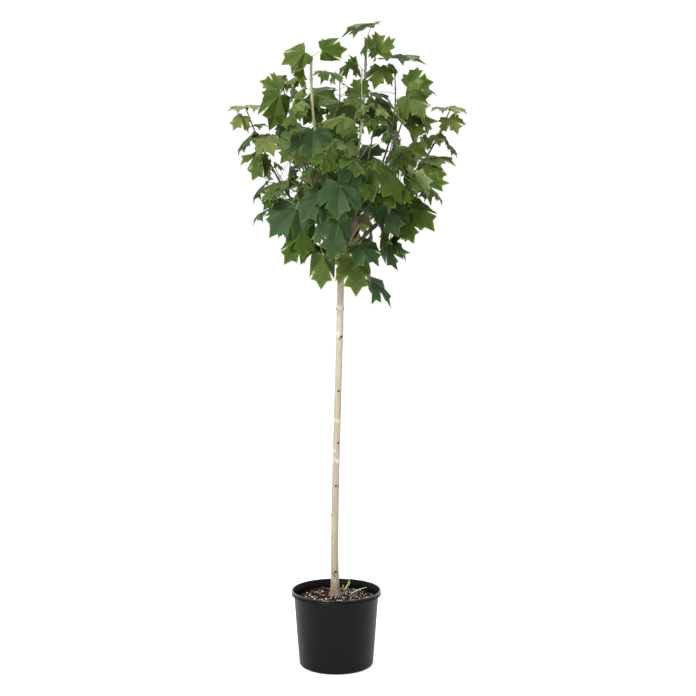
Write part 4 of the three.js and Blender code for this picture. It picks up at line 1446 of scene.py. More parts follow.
def scatter_tree(name, materials):
    """Strews the objects of a collection over a surface, each turned and sized by a fixed seed."""
    inputs = {
        "Grains": "NodeSocketCollection",
        "Density": "NodeSocketFloat",
        "Tilt": "NodeSocketFloat",
        "Smallest": "NodeSocketFloat",
        "Seed": "NodeSocketInt",
    }
    nodes, given = geometry_tree(name, inputs)
    sockets = {"Mesh": given["Geometry"], "Density": given["Density"], "Seed": given["Seed"]}
    strewn = nodes.add("GeometryNodeDistributePointsOnFaces", None, sockets)
    info = {"Collection": given["Grains"], "Separate Children": True}
    grains = nodes.add("GeometryNodeCollectionInfo", None, info)
    tilt = given["Tilt"]
    low = nodes.add("ShaderNodeCombineXYZ", None, {0: 0.0 - tilt, 1: 0.0 - tilt, 2: 0.0})
    high = nodes.add("ShaderNodeCombineXYZ", None, {0: tilt, 1: tilt, 2: 2 * math.pi})
    vector = {"data_type": "FLOAT_VECTOR"}
    turn = nodes.add("FunctionNodeRandomValue", vector, {0: low, 1: high, "Seed": given["Seed"]})
    sizes = {2: given["Smallest"], 3: 1.0, "Seed": given["Seed"]}
    size = nodes.add("FunctionNodeRandomValue", None, sizes, output=1)
    sockets = {"Points": strewn, "Instance": grains, "Pick Instance": True, "Rotation": turn, "Scale": size}
    placed = nodes.add("GeometryNodeInstanceOnPoints", None, sockets)
    end_tree(nodes, placed, materials)
    return nodes


def strew(name, surface, kinds, material, per_area, lie, thick):
    """Scatters lumps over a copy of the mix's top and keeps them as one piece.

    Where they lie thick is a function of a place that says how many of ten faces are strewn.
    """
    grains = [lump(*kind) for kind in kinds]
    points, faces = surface
    out = np.hypot(points[:, 0], points[:, 1])
    inside = [face for face in faces if out[list(face)].max() < SOIL_HIGH.x - SOIL_EDGE]
    centres = [points[list(face)].mean(0) for face in inside]
    inside = [face for i, face in enumerate(inside) if i * 7 % 10 < thick(centres[i])]
    piece = add_mesh(name, points, inside)
    heap = bpy.data.collections.new(name + "_kinds")
    bpy.context.scene.collection.children.link(heap)
    for grain in grains:
        bpy.context.scene.collection.objects.unlink(grain)
        heap.objects.link(grain)
    tree = scatter_tree(name + "_tree", [material])
    tilt, smallest, seed = lie
    apply_tree(piece, tree, Grains=heap, Density=per_area, Tilt=tilt, Smallest=smallest, Seed=seed)
    for grain in grains:
        bpy.data.objects.remove(grain)
    bpy.data.collections.remove(heap)
    finish_piece(piece, "potting_mix")


def soil_place(pixel):
    """The place on the mix that the photograph shows at a pixel."""
    ray = picture_ray(pixel)
    return CAMERA + ray * (SOIL_HIGH.z - CAMERA_HEIGHT) / ray[2]


# Pixels of what lies and grows on the mix, and its sizes
STRAW_ENDS = ((351, 595), (369, 588.5))
STRAW_RADIUS = 0.0012
STRAW_LIFT = 0.005
STRAW_BOW = 0.003
STRAW_STEPS = 7
SEEDLING_FOOT = (344.5, 587)
SEEDLING_TIPS = ((349.3, 579.5), (342.5, 584.5))
SEEDLING_RADII = (0.0046, 0.0018)
SEEDLING_TAPER = np.array((0.3, 0.7, 1.0, 1.0, 0.7, 0.1))
SEEDLING_SINK = 0.004
SEEDLING_BEND = (0.002, 0.004)  # beside its tip and above its foot
MOSS_PLACE = (346, 590)
MOSS_REACH = 0.026


def straw_and_seedling(settings):
    """A stick of straw on the mix and a seedling of two slim blades."""
    start, end = [soil_place(pixel) + UP * STRAW_LIFT for pixel in STRAW_ENDS]
    shares = np.linspace(0, 1, STRAW_STEPS)[:, None]
    line = mix(start, end, shares) + UP * STRAW_BOW * np.sin(shares * math.pi)
    straw = add_mesh("straw", *tube(line, [STRAW_RADIUS] * STRAW_STEPS, 7))
    finish_piece(straw, "potting_mix", material=flake_material("straw", settings.straw, 0.8, 0.3))
    foot = soil_place(SEEDLING_FOOT)
    blades = []
    for pixel, radius in zip(SEEDLING_TIPS, SEEDLING_RADII):
        tip = picture_place(pixel, foot[1])
        bend = (tip[0] + SEEDLING_BEND[0], tip[1], foot[2] + SEEDLING_BEND[1])
        curve = Curve(foot - UP * SEEDLING_SINK, bend, tip)
        line = curve.points(np.linspace(0, 1, len(SEEDLING_TAPER)))
        blades.append(tube(line, radius * SEEDLING_TAPER, 6))
    seedling = add_mesh("seedling", *joined(blades))
    finish_piece(seedling, "foliage", material=flake_material("seedling", settings.seedling, 0.6, 0.25))


class MAPLE_OT_soil(bpy.types.Operator):
    """Fills the pot with lumpy mix, bark chips, perlite, fibres, moss, straw and a seedling"""

    bl_idname = "maple.soil"
    bl_label = "Potting Mix"

    def execute(self, context):
        settings = context.scene.maple_soil
        body = add_mesh("potting_mix", *soil_body(settings.lumps))
        finish_piece(body, "potting_mix", "soil", material=peat_material(settings))
        surface = soil_surface(settings.lumps)
        chip = flake_material("bark_chips", settings.chip, 0.85, 0.85)
        strew("mix_chips", surface, CHIPS, chip, settings.chip_density, CHIPS_LIE,
              lambda place: 9 if place[0] < 0 else 4)
        perlite = flake_material("perlite", settings.perlite, 0.9, 0.25)
        strew("mix_perlite", surface, PERLITE, perlite, settings.perlite_density, PERLITE_LIES,
              lambda place: 10 if place[0] < 0.02 and place[1] < -0.02 else 3)
        fibre = flake_material("fibres", settings.straw, 0.9, 0.6)
        strew("mix_fibres", surface, FIBRES, fibre, settings.fibre_density, FIBRES_LIE,
              lambda place: 9 if place[0] > 0 else 2)
        moss = flake_material("moss", settings.moss, 0.9, 0.6)
        middle = soil_place(MOSS_PLACE)
        strew("mix_moss", surface, MOSS, moss, settings.chip_density * MOSS_DENSITY, MOSS_LIES,
              lambda place: 8 if np.hypot(*(place - middle)[:2]) < MOSS_REACH else 0)
        straw_and_seedling(settings)
        return {"FINISHED"}


# Trunk and boughs


TRUNK_SINK = 0.006  # of the trunk's foot stands in the mix
COLLAR = 0.0022
COLLAR_LENGTH = 0.022
TRUNK_RINGS = 120
TRUNK_RING_CROWDING = 1.3  # how much closer the rings lie at the foot
TRUNK_SIDES = 24
BOUGH_RINGS = 16
BOUGH_SIDES = 12
SOFTENING, SOFTENING_ROUNDS = 0.5, 4

# Relief of the bark: a ring round the trunk has a dark line below it and a pale band above it
RING_RISE, RING_WIDTH, RING_WAVE = 0.0011, 0.003, 0.0012
RING_SHADES = ((0.5, -0.0045, 0.0014), (-1.3, 0.0035, 0.006))  # strength, height and width
RINGLESS_HEAD = 0.03  # below the fork
PALE_STRENGTH = 2.0
SCAR_RISES = ((0.4, 1.5), (-0.35, 0.6))  # strength and width of its lip and its dent, over its radius
SCAR_SHADES = ((2.6, 0.8), (0.3, 2.0))  # of its dark core and the shade round it
# painted shade on the left side of the trunk's head: its strength and its width round the trunk
SIDE_SHADE_STRENGTH, SIDE_SHADE_WIDTH = 0.45, 0.009
OLIVE_WIDTH = 0.01
BUTTRESS_HEIGHT, BUTTRESS_TOP = 0.028, 0.4
BUTTRESS_RISE, BUTTRESS_COUNT, BUTTRESS_TURN = 0.0034, 5, 0.7
KNOBBLE_RISE = 0.0026

# Colours along the trunk from its foot to the fork, in the earth at its foot, and of its marks
LOW_TONES = ((0.033, (0.27, 0.175, 0.11)), (0.046, (0.36, 0.28, 0.185)), (0.07, (0.265, 0.215, 0.142)),
             (0.22, (0.238, 0.205, 0.13)), (0.32, (0.282, 0.24, 0.182)), (0.54, (0.295, 0.252, 0.208)))
HIGH_TONES = ((0.84, (0.42, 0.355, 0.285)), (0.92, (0.42, 0.33, 0.25)), (0.965, (0.36, 0.23, 0.145)),
              (1.0, (0.17, 0.1, 0.058)))
EARTH_TONES = ((0.4, (0.05, 0.024, 0.014)), (0.5, (0.19, 0.095, 0.055)), (0.62, (0.42, 0.31, 0.22)))
GREENISH_BAND = (0.36, 0.31, 0.17)
ROSY_BAND = (0.4, 0.3, 0.25)
BARK_FLECK = (0.3, 0.22, 0.15)
BARK_OLIVE = (0.3, 0.29, 0.14)
PALE_SPOT = (0.52, 0.48, 0.42)


def trunk_outline():
    """Points and faces of the trunk and of every bough, before they are fused."""
    curve = trunk_curve()
    times = np.linspace(0, 1, TRUNK_RINGS) ** TRUNK_RING_CROWDING
    axis = curve.at_times(times)
    radii = trunk_radius(axis[:, 2])
    axis = np.vstack([axis[0] - UP * TRUNK_SINK, axis, axis[-1] + UP * TRUNK_FORK_RADIUS / 3])
    radii = np.concatenate([[radii[0]], radii, [TRUNK_FORK_RADIUS / 2]])
    parts = [tube(axis, radii, TRUNK_SIDES)]
    for shoot in SHOOTS:
        bough = shoot_curve(shoot)
        shares = np.linspace(0, BOUGH_SHARE, BOUGH_RINGS)
        collar = COLLAR * bell(shares * bough.length - TRUNK_FORK_RADIUS, COLLAR_LENGTH)
        radii = np.linspace(BOUGH_RADIUS, STEM_RADIUS, BOUGH_RINGS) + collar
        parts.append(tube(bough.points(shares), radii, BOUGH_SIDES))
    return joined(parts)


def round_trunk(bearings, bearing):
    """How far points lie round the trunk from a bearing."""
    return np.angle(np.exp(1j * (bearings - math.radians(bearing)))) * TRUNK_FORK_RADIUS


def bark_relief(points, bearings, settings):
    """How far each point of the bark stands out, how dark it is, where below zero is pale, and how olive."""
    heights = points[:, 2]
    along = np.column_stack([np.cos(bearings), np.sin(bearings), heights * 9])
    rise = settings.relief * noise_at(along, 4.0, 2.0)
    rise += settings.relief * 0.8 * noise_at(points, 220.0, 5.0)
    scars_and_shade = np.zeros(len(points))
    on_trunk = heights < FORK_HEIGHT - RINGLESS_HEAD
    for height, strength in RINGS:
        wave = heights - height - RING_WAVE * np.sin(bearings * 2)
        rise += on_trunk * strength * RING_RISE * bell(wave, RING_WIDTH)
        for shade, place, width in RING_SHADES:
            scars_and_shade += on_trunk * strength * shade * bell(wave - place, width)
    for height, bearing, radius in PALE_SPOTS:
        scars_and_shade -= PALE_STRENGTH * bell(np.hypot(round_trunk(bearings, bearing), heights - height), radius)
    for height, bearing, radius in SCARS:
        away = np.hypot(round_trunk(bearings, bearing), heights - height) / radius
        rise += radius * sum(strength * bell(away, width) for strength, width in SCAR_RISES)
        scars_and_shade += sum(strength * bell(away, width) for strength, width in SCAR_SHADES)
    # painted shade: a darker brown on the left side of the trunk's head, carried with the scars
    height, bearing, reach = SIDE_SHADE
    beside = round_trunk(bearings, bearing)
    scars_and_shade += SIDE_SHADE_STRENGTH * bell(heights - height, reach) * bell(beside, SIDE_SHADE_WIDTH)
    buttress = np.exp(-(heights - TRUNK_LOW.z) / BUTTRESS_HEIGHT) * (heights < BUTTRESS_TOP)
    rise += BUTTRESS_RISE * buttress * np.sin(BUTTRESS_COUNT * bearings + BUTTRESS_TURN)
    rise += KNOBBLE_RISE * buttress * noise_at(along, 9.0, 8.0)
    olive = np.zeros(len(points))
    for height, bearing, reach in OLIVE_SPOTS:
        olive += bell(heights - height, reach) * bell(round_trunk(bearings, bearing), OLIVE_WIDTH)
    return rise, np.clip(scars_and_shade, -1, 1), olive


def bark_material(settings):
    """Bark whose tone changes from the foot to the fork, with earth, bands, flecks, patches, scars and
    painted shade on one side.
    """
    material, nodes, shader = new_material("bark", settings.pale, 0.68)
    place = object_place(nodes)
    share = trunk_share(height_of(nodes, place))
    tones = ((0.016, settings.foot), *LOW_TONES, (0.7, settings.pale), *HIGH_TONES)
    tone = nodes.ramp(share, *tones)
    streaks = nodes.noise(object_place(nodes, (1.0, 1.0, 0.06)), 300.0, 4.0, 0.6)
    bands = nodes.noise(object_place(nodes, (1.0, 1.0, 0.05)), 170.0, 2.0)
    blotches = nodes.noise(object_place(nodes, (1.0, 1.0, 0.5)), 70.0, 3.0)
    crumbs = nodes.noise(place, 260.0, 4.0, 0.6)
    earthy = nodes.ramp(share + (blotches + crumbs - 1.0) * 0.16, (0.0, 1.0), (0.048, 0.0))
    tone = nodes.mix_colours(earthy * 0.85, tone, nodes.ramp(crumbs, *EARTH_TONES))
    tone = nodes.mix_colours(nodes.ramp(bands, (0.46, 0.0), (0.62, 0.5)), tone, rgba(GREENISH_BAND))
    tone = nodes.mix_colours(nodes.ramp(bands, (0.34, 0.4), (0.46, 0.0)), tone, rgba(ROSY_BAND))
    darker = nodes.ramp(streaks * 0.6 + blotches * 0.4, (0.34, 1.0), (0.58, 0.0))
    dusky = tuple(channel * 0.62 for channel in settings.pale)
    tone = nodes.mix_colours(darker * 0.75, tone, rgba(dusky))
    grain = {"Vector": object_place(nodes, (1.0, 1.0, 0.55)), "Scale": 230.0}
    flecks = nodes.ramp(nodes.add("ShaderNodeTexVoronoi", None, grain), (0.1, 1.0), (0.17, 0.0))
    tone = nodes.mix_colours(flecks * 0.45, tone, rgba(BARK_FLECK))
    olive = nodes.add("ShaderNodeAttribute", {"attribute_name": "olive"}, output=2)
    tone = nodes.mix_colours(olive * 0.6, tone, rgba(BARK_OLIVE))
    scar = nodes.add("ShaderNodeAttribute", {"attribute_name": "scar"}, output=2)
    tone = nodes.mix_colours(nodes.ramp(0.0 - scar, (0.0, 0.0), (1.0, 0.8)), tone, rgba(PALE_SPOT))
    # The scar value also carries the painted shade on the left side of the trunk's head
    scarred_and_shaded = nodes.ramp(scar, (0.1, 0.0), (0.6, 0.3), (0.9, 1.0))
    tone = nodes.mix_colours(scarred_and_shaded, tone, rgba(settings.scar))
    feed(nodes, shader, Base_Color=tone)
    bumped(nodes, shader, streaks + flecks * 0.4, 0.0006)
    return material


class MAPLE_OT_trunk(bpy.types.Operator):
    """Fuses trunk and boughs into one skin with the bark's relief"""

    bl_idname = "maple.trunk"
    bl_label = "Trunk and Boughs"

    def execute(self, context):
        settings = context.scene.maple_bark
        trunk = add_mesh("trunk_and_boughs", *trunk_outline())
        remesh = trunk.modifiers.new("fuse", "REMESH")
        remesh.mode = "VOXEL"
        remesh.voxel_size = settings.voxel
        remesh.use_smooth_shade = True
        smooth = trunk.modifiers.new("soften", "SMOOTH")
        smooth.factor = SOFTENING
        smooth.iterations = SOFTENING_ROUNDS
        keep_evaluated(trunk)
        mesh = trunk.data
        points = np.array([v.co for v in mesh.vertices])
        normals = np.array([v.normal for v in mesh.vertices])
        centres = trunk_curve().at_times(np.clip(trunk_share(points[:, 2]), 0, 1))
        bearings = np.arctan2(points[:, 1] - centres[:, 1], points[:, 0] - centres[:, 0])
        rise, scars_and_shade, olive = bark_relief(points, bearings, settings)
        mesh.vertices.foreach_set("co", (points + normals * rise[:, None]).ravel())
        set_attribute(mesh, "scar", "FLOAT", "POINT", scars_and_shade.astype(np.float32))
        set_attribute(mesh, "olive", "FLOAT", "POINT", olive.astype(np.float32))
        mesh.update()
        boughs = [f"{name}_bough" for name in SHOOT_NAMES]
        finish_piece(trunk, "bark", "trunk", *boughs, material=bark_material(settings))
        return {"FINISHED"}


# Shoots, twigs and petioles


NODE_SWELLING = 0.35
NODE_LENGTH = 0.005
LIMB_STEP = 0.012
LIMB_SIDES = 8
PETIOLE_RADIUS = 0.0009
PETIOLE_THIN = 0.75  # the radius of the smallest leaves' petioles, as a share
PETIOLE_FULL_LEAF = 0.11  # a leaf of this length has a petiole of full radius
PETIOLE_RISE = 0.55  # of its length follows the angle at which it leaves the twig
PETIOLE_SINK = 0.04  # of the blade's length lies on the blade
PETIOLE_FOOT, PETIOLE_FOOT_LENGTH = 0.7, 0.08  # how it swells at the twig and at the blade
PETIOLE_END, PETIOLE_END_LENGTH = 0.2, 0.2
PETIOLE_STEPS = 6
PETIOLE_SIDES = 5
GREY_WOOD = (0.105, 0.1, 0.074)
GREY_HEIGHTS = ((0.58, 0.0), (0.7, 0.9))  # the shoots grow grey towards the top of the head
PALE_FLECK = (0.55, 0.54, 0.34)
DARK_FLECK = (0.088, 0.08, 0.052)


def limb_line(limb):
    """Points along a limb and its radius at each, swollen at its nodes."""
    run = limb.curve.length * (1 - limb.start)
    shares = np.linspace(limb.start, 1, max(4, int(run / LIMB_STEP)) + 1)
    near = [node for node in limb.nodes for _ in range(3)]
    steps = np.tile((-NODE_LENGTH, 0, NODE_LENGTH), len(limb.nodes)) / limb.curve.length
    shares = np.unique(np.clip(np.concatenate([shares, np.array(near) + steps]), limb.start, 1).round(6))
    along = (shares - limb.start) / (1 - limb.start)
    radii = mix(limb.radius, limb.tip_radius, along)
    for node in limb.nodes:
        radii = radii * (1 + NODE_SWELLING * bell((shares - node) * limb.curve.length, NODE_LENGTH))
    return limb.curve.points(shares), radii


def petiole_line(leaf):
    """Points along a leaf's stalk, which leaves the twig at its angle and sags into the blade."""
    reach = np.linalg.norm(leaf.foot - leaf.node)
    bend = leaf.node + leaf.way * reach * PETIOLE_RISE
    curve = Curve(leaf.node, bend, leaf.foot, leaf.foot + leaf.along * leaf.size * PETIOLE_SINK)
    shares = np.linspace(0, 1, PETIOLE_STEPS + 1)
    thick = PETIOLE_RADIUS * mix(PETIOLE_THIN, 1.0, leaf.size / PETIOLE_FULL_LEAF)
    foot = PETIOLE_FOOT * bell(shares, PETIOLE_FOOT_LENGTH)
    end = PETIOLE_END * bell(shares - 1, PETIOLE_END_LENGTH)
    return curve.points(shares), thick * (1 + foot + end)


def lines_object(name, lines, kinds):
    """A mesh of open lines with a radius at each point and a kind for each line."""
    points = np.concatenate([line[0] for line in lines])
    radii = np.concatenate([line[1] for line in lines])
    edges = []
    numbers = []
    for (line, _), kind in zip(lines, kinds):
        first = len(numbers)
        edges += [(first + i, first + i + 1) for i in range(len(line) - 1)]
        numbers += [kind] * len(line)
    obj = add_mesh(name, points, edges=edges)
    set_attribute(obj.data, "thick", "FLOAT", "POINT", radii.astype(np.float32))
    set_attribute(obj.data, "wood", "INT", "POINT", np.array(numbers, np.int32))
    return obj


def round_limbs_tree(name, materials):
    """Turns lines into round limbs of their own thickness."""
    nodes, given = geometry_tree(name, {"Sides": "NodeSocketInt"})
    lines = nodes.add("GeometryNodeMeshToCurve", None, {"Mesh": given["Geometry"]})
    thick = nodes.attribute("thick")
    round_shape = {"Resolution": given["Sides"], "Radius": 1.0}
    circle = nodes.add("GeometryNodeCurvePrimitiveCircle", None, round_shape)
    sockets = {"Curve": lines, "Profile Curve": circle, "Scale": thick, "Fill Caps": True}
    limbs = nodes.add("GeometryNodeCurveToMesh", None, sockets)
    rounded = nodes.add("GeometryNodeSetShadeSmooth", None, {"Geometry": limbs})
    end_tree(nodes, rounded, materials, nodes.attribute("wood", "INT"))
    return nodes


def shoot_material(name, colour, fleck):
    """Streaked young wood that turns grey towards the top of the head."""
    material, nodes, shader = new_material(name, colour, 0.6)
    place = object_place(nodes)
    streaks = nodes.noise(place, 240.0, 4.0, 0.6)
    tone = nodes.ramp(streaks, (0.36, tuple(c * 0.72 for c in colour)), (0.62, colour), (0.78, fleck))
    grey = nodes.ramp(head_share(height_of(nodes, place)), *GREY_HEIGHTS)
    tone = nodes.mix_colours(grey, tone, rgba(GREY_WOOD))
    feed(nodes, shader, Base_Color=tone)
    bumped(nodes, shader, streaks, 0.0005)
    return material


def stalk_material(settings):
    glow = {"Subsurface_Weight": 0.15, "Subsurface_Scale": 0.001}
    material, nodes, shader = new_material("petiole", settings.petiole, 0.45, **glow)
    bumped(nodes, shader, nodes.noise(object_place(nodes), 500.0, 2.0), 0.0002)
    return material


class MAPLE_OT_shoots(bpy.types.Operator):
    """Grows the stems and twigs on from the boughs, and a stalk for each leaf"""

    bl_idname = "maple.shoots"
    bl_label = "Shoots and Petioles"

    def execute(self, context):
        bark = context.scene.maple_bark
        head = grown_head()
        limb_lines = [limb_line(limb) for limb in head.limbs]
        shoots = lines_object("shoots", limb_lines, [limb.wood for limb in head.limbs])
        woods = [
            shoot_material("pale_shoot", bark.pale_shoot, PALE_FLECK),
            shoot_material("dark_shoot", bark.dark_shoot, DARK_FLECK),
        ]
        apply_tree(shoots, round_limbs_tree("round_shoots", woods), Sides=LIMB_SIDES)
        drop_attributes(shoots.data, "thick", "wood")
        finish_piece(shoots, "bark")
        stalk_lines = [petiole_line(leaf) for leaf in head.leaves]
        stalks = lines_object("petioles", stalk_lines, [0] * len(stalk_lines))
        stalk = stalk_material(context.scene.maple_leaves)
        apply_tree(stalks, round_limbs_tree("round_stalks", [stalk]), Sides=PETIOLE_SIDES)
        drop_attributes(stalks.data, "thick", "wood")
        finish_piece(stalks, "foliage")
        return {"FINISHED"}


# Leaves


def mirrored(points):
    return [(-u, v) for u, v in reversed(points)]


def blade_lobes():
    """The outline of each lobe and the end of its vein, round the blade from its foot by the right."""
    basal = [(0.0, 0.0), *BASAL_LOBE, LOW_SINUS]
    side = [LOW_SINUS, *SIDE_LOBE, HIGH_SINUS]
    half_tip = [HIGH_SINUS, *TIP_LOBE]
    outlines = [basal, side, half_tip + mirrored(half_tip)[1:], mirrored(side), mirrored(basal)]
    return list(zip(outlines, [*VEIN_ENDS, *mirrored(VEIN_ENDS[:2])]))


def vein_distance(place):
    """How far a place on the blade lies from the nearest vein."""
    spot = np.array(place[:2])
    ways = [unit(np.array(end)) for _, end in blade_lobes()]
    return min(np.linalg.norm(spot - way * max(0.0, spot.dot(way))) for way in ways)


def blade_object():
    """The leaf that is repeated: two skins of a few faces that meet in a thin rim, and each point's place."""
    numbers = {}
    faces, parts = [], []

    def add(part, *corners):
        row = [numbers.setdefault(corner, len(numbers)) for corner in corners]
        faces.append(row[::-1] if part == UNDER else row)
        parts.append(part)

    foot = (0.0, 0.0, 0.0)
    for skin, height in ((TOP, BLADE_THICKNESS / 2), (UNDER, -BLADE_THICKNESS / 2)):
        lobes = [([(u, v, 0.0) for u, v in outline], (*end, height)) for outline, end in blade_lobes()]
        for outline, end in lobes:
            for corner, after in zip(outline, outline[1:]):
                add(skin, corner, after, end)
        for (outline, end), (_, next_end) in zip(lobes, lobes[1:]):
            sinus = outline[-1]
            if skin == UNDER:
                add(UNDER, foot, end, sinus)
                add(UNDER, foot, sinus, next_end)
                continue
            between = unit(unit(np.array(end[:2])) + unit(np.array(next_end[:2])))
            parting = (*(between * VEIN_PARTING), height)
            add(VEIN, foot, end, parting)
            add(TOP, parting, end, sinus)
            add(TOP, parting, sinus, next_end)
            add(VEIN, foot, parting, next_end)
    places = np.array(list(numbers), np.float32)
    blade = add_mesh("blade", places, faces)
    mesh = blade.data
    set_attribute(mesh, "place", "FLOAT_VECTOR", "POINT", places)
    set_attribute(mesh, "pleat", "FLOAT", "POINT", np.array([vein_distance(p) for p in places], np.float32))
    set_attribute(mesh, "part", "INT", "FACE", np.array(parts, np.int32))
    return blade


RIPPLE_WAVES = 7.0  # radians of waviness along a blade


def leaf_tree(materials):
    """Instances the blade at every leaf, then bends each one to its own pose."""
    amounts = dict.fromkeys(("Curl", "Fold", "Ripple", "Pleat"), "NodeSocketFloat")
    nodes, given = geometry_tree("maple_leaves", {"Blade": "NodeSocketObject", **amounts})
    shape = nodes.add("GeometryNodeObjectInfo", None, {"Object": given["Blade"]}, output="Geometry")
    sockets = {"Points": given["Geometry"], "Instance": shape}
    placed = nodes.add("GeometryNodeInstanceOnPoints", None, sockets)
    real = nodes.add("GeometryNodeRealizeInstances", None, {"Geometry": placed})
    place = nodes.attribute("place", "FLOAT_VECTOR")
    apart = [nodes.add("ShaderNodeSeparateXYZ", None, {"Vector": place}, output=axis) for axis in range(3)]
    u, v, above = apart
    cup = nodes.attribute("cup")
    bend = given["Curl"] * nodes.attribute("curl")
    wave = (v * RIPPLE_WAVES + nodes.attribute("phase")).sine() * given["Ripple"]
    folded = (given["Fold"] * nodes.attribute("fold") + wave) * abs(u)
    lift = above + folded + ((u * cup).cosine() - 1.0) / cup
    lift = lift + given["Pleat"] * nodes.attribute("pleat") + nodes.attribute("twist") * u * v
    sideways = (u * cup).sine() / cup
    turn = bend * v
    forward = turn.sine() / bend + lift * turn.sine()
    upward = (turn.cosine() - 1.0) / bend + lift * turn.cosine()
    size = nodes.attribute("size")
    ways = [(sideways, "across"), (forward, "along"), (upward, "face")]
    spot = nodes.attribute("foot", "FLOAT_VECTOR")
    for amount, name in ways:
        sockets = {0: nodes.attribute(name, "FLOAT_VECTOR"), 1: amount * size, 2: spot}
        spot = nodes.add("ShaderNodeVectorMath", {"operation": "MULTIPLY_ADD"}, sockets)
    shaped = nodes.add("GeometryNodeSetPosition", None, {"Geometry": real, "Position": spot})
    choice = nodes.attribute("tint", "INT") * float(len(LEAF_PARTS)) + nodes.attribute("part", "INT")
    end_tree(nodes, shaped, materials, choice)
    return nodes


# What a leaf's point and its blade carry into the tree
POSE = ("foot", "along", "across", "face", "size")
BEND = ("curl", "fold", "cup", "phase", "twist", "tint")
BLADE = ("place", "pleat", "part")

# How far the leaves differ: a range for each bend, and how much of the twist a portrait leaf has
CURL_RANGE = (0.35, 1.9)
FOLD_RANGE = (0.0, 2.0)
CUP_RANGE = (0.5, 1.9)
TWIST_RANGE = (-0.4, 0.4)
PORTRAIT_TWIST = 0.4

# A leaf's youth grows along its shoot, up the head and by chance, and the bounds part the greens. Lighter up
# the head is partly painted light.
YOUTH_ALONG = 0.3
YOUTH_AND_LIGHT_UP = 0.42
YOUTH_CHANCE = 0.24
TINT_BOUNDS = (0.36, 0.72, 1.0)

UNDERSIDE_GREY, UNDERSIDE_SHARE = (0.16, 0.2, 0.1), 0.42
VEIN_LIGHT, VEIN_SHARE = (0.34, 0.4, 0.13), 0.24
LEAF_GLOW = {"Subsurface_Scale": 0.0008, "Subsurface_Radius": (0.9, 1.0, 0.35)}


def leaf_tint(leaf, chances):
    """Which green a leaf has: older low and inside, younger towards the tips and on the side arms, partly
    painted light and shade.
    """
    if leaf.tint >= 0:
        return leaf.tint
    youth_and_light = SHOOTS[leaf.shoot].kind.youth_and_light + YOUTH_ALONG * leaf.share
    youth_and_light += YOUTH_AND_LIGHT_UP * head_share(leaf.foot[2]) + YOUTH_CHANCE * (next(chances) - 0.5)
    return sum(youth_and_light > bound for bound in TINT_BOUNDS)


def leaf_points(leaves):
    """A mesh of one point for each leaf with its pose and shape."""
    points = add_mesh("leaves", [leaf.foot for leaf in leaves])
    rows = {name: [] for name in (*POSE, *BEND)}
    for number, leaf in enumerate(leaves):
        chances = random_from(SEED * 3 + number)
        for name in POSE:
            rows[name].append(getattr(leaf, name))
        curl = mix(*CURL_RANGE, next(chances))
        rows["curl"].append(1.0 if leaf.cup else curl)
        rows["fold"].append(mix(*FOLD_RANGE, next(chances)))
        cup = mix(*CUP_RANGE, next(chances))
        rows["cup"].append(leaf.cup or cup)
        rows["phase"].append(2 * math.pi * next(chances))
        rows["twist"].append(mix(*TWIST_RANGE, next(chances)) * (PORTRAIT_TWIST if leaf.cup else 1.0))
        rows["tint"].append(leaf_tint(leaf, chances))
    for name, values in rows.items():
        kind = "INT" if name == "tint" else "FLOAT" if np.ndim(values) == 1 else "FLOAT_VECTOR"
        dtype = np.int32 if kind == "INT" else np.float32
        set_attribute(points.data, name, kind, "POINT", np.array(values, dtype))
    return points


def leaf_material(name, colour, roughness, glow):
    """A leaf's skin: a plain green with a fine puckered surface that lets some light through."""
    finish = {"Subsurface_Weight": glow, "Specular_IOR_Level": 0.09, **LEAF_GLOW}
    material, nodes, shader = new_material(name, colour, roughness, **finish)
    place = object_place(nodes)
    pucker = nodes.noise(place, 210.0, 3.0) + nodes.noise(place, 620.0, 2.0) * 0.4
    bumped(nodes, shader, pucker, 0.0011)
    return material


def leaf_materials(settings):
    """Upper side, underside and veins of each green."""
    materials = []
    for name in ("deep", "full", "fresh", "young", "olive"):
        green = getattr(settings, name)
        pale = mix(np.array(green), np.array(UNDERSIDE_GREY), UNDERSIDE_SHARE)
        vein = mix(np.array(green), np.array(VEIN_LIGHT), VEIN_SHARE)
        materials.append(leaf_material(f"{name}_leaf", green, 0.46, 0.22))
        materials.append(leaf_material(f"{name}_underside", pale, 0.62, 0.22))
        materials.append(leaf_material(f"{name}_vein", vein, 0.5, 0.12))
    return materials


class MAPLE_OT_leaves(bpy.types.Operator):
    """Hangs a toothed five-lobed leaf on every stalk"""

    bl_idname = "maple.leaves"
    bl_label = "Leaves"

    def execute(self, context):
        settings = context.scene.maple_leaves
        blade = blade_object()
        leaves = leaf_points(grown_head().leaves)
        tree = leaf_tree(leaf_materials(settings))
        shape = {name.title(): getattr(settings, name) for name in ("curl", "fold", "ripple", "pleat")}
        apply_tree(leaves, tree, Blade=blade, **shape)
        drop_attributes(leaves.data, *POSE, *BEND, *BLADE)
        leaves.data.set_sharp_from_angle(angle=LEAF_CREASE)
        bpy.data.objects.remove(blade)
        finish_piece(leaves, "foliage", *[f"{name}_leaves" for name in SHOOT_NAMES])
        return {"FINISHED"}


# Stage


FLOOR_RADIUS = 40.0
FLOOR_LEVEL = -0.0004
FLOOR_COLOUR = (0.93, 0.93, 0.93)
FLOOR_GLOW = 0.35

# Soft lamps: place, width and power
KEY_LIGHT = ((-2.0, -3.2, 3.9), 1.6, 240)
TOP_LIGHT = ((0.3, 0.4, 4.4), 1.4, 80)
LIGHT_AIM = (0, 0, 1.4)


def add_light(name, place, size, power):
    light = bpy.data.lights.new(name, "AREA")
    light.energy = power
    light.shape = "DISK"
    light.size = size
    obj = bpy.data.objects.new(name, light)
    obj.location = place
    obj.rotation_euler = (Vector(LIGHT_AIM) - Vector(place)).to_track_quat("-Z", "Y").to_euler()
    bpy.context.scene.collection.objects.link(obj)


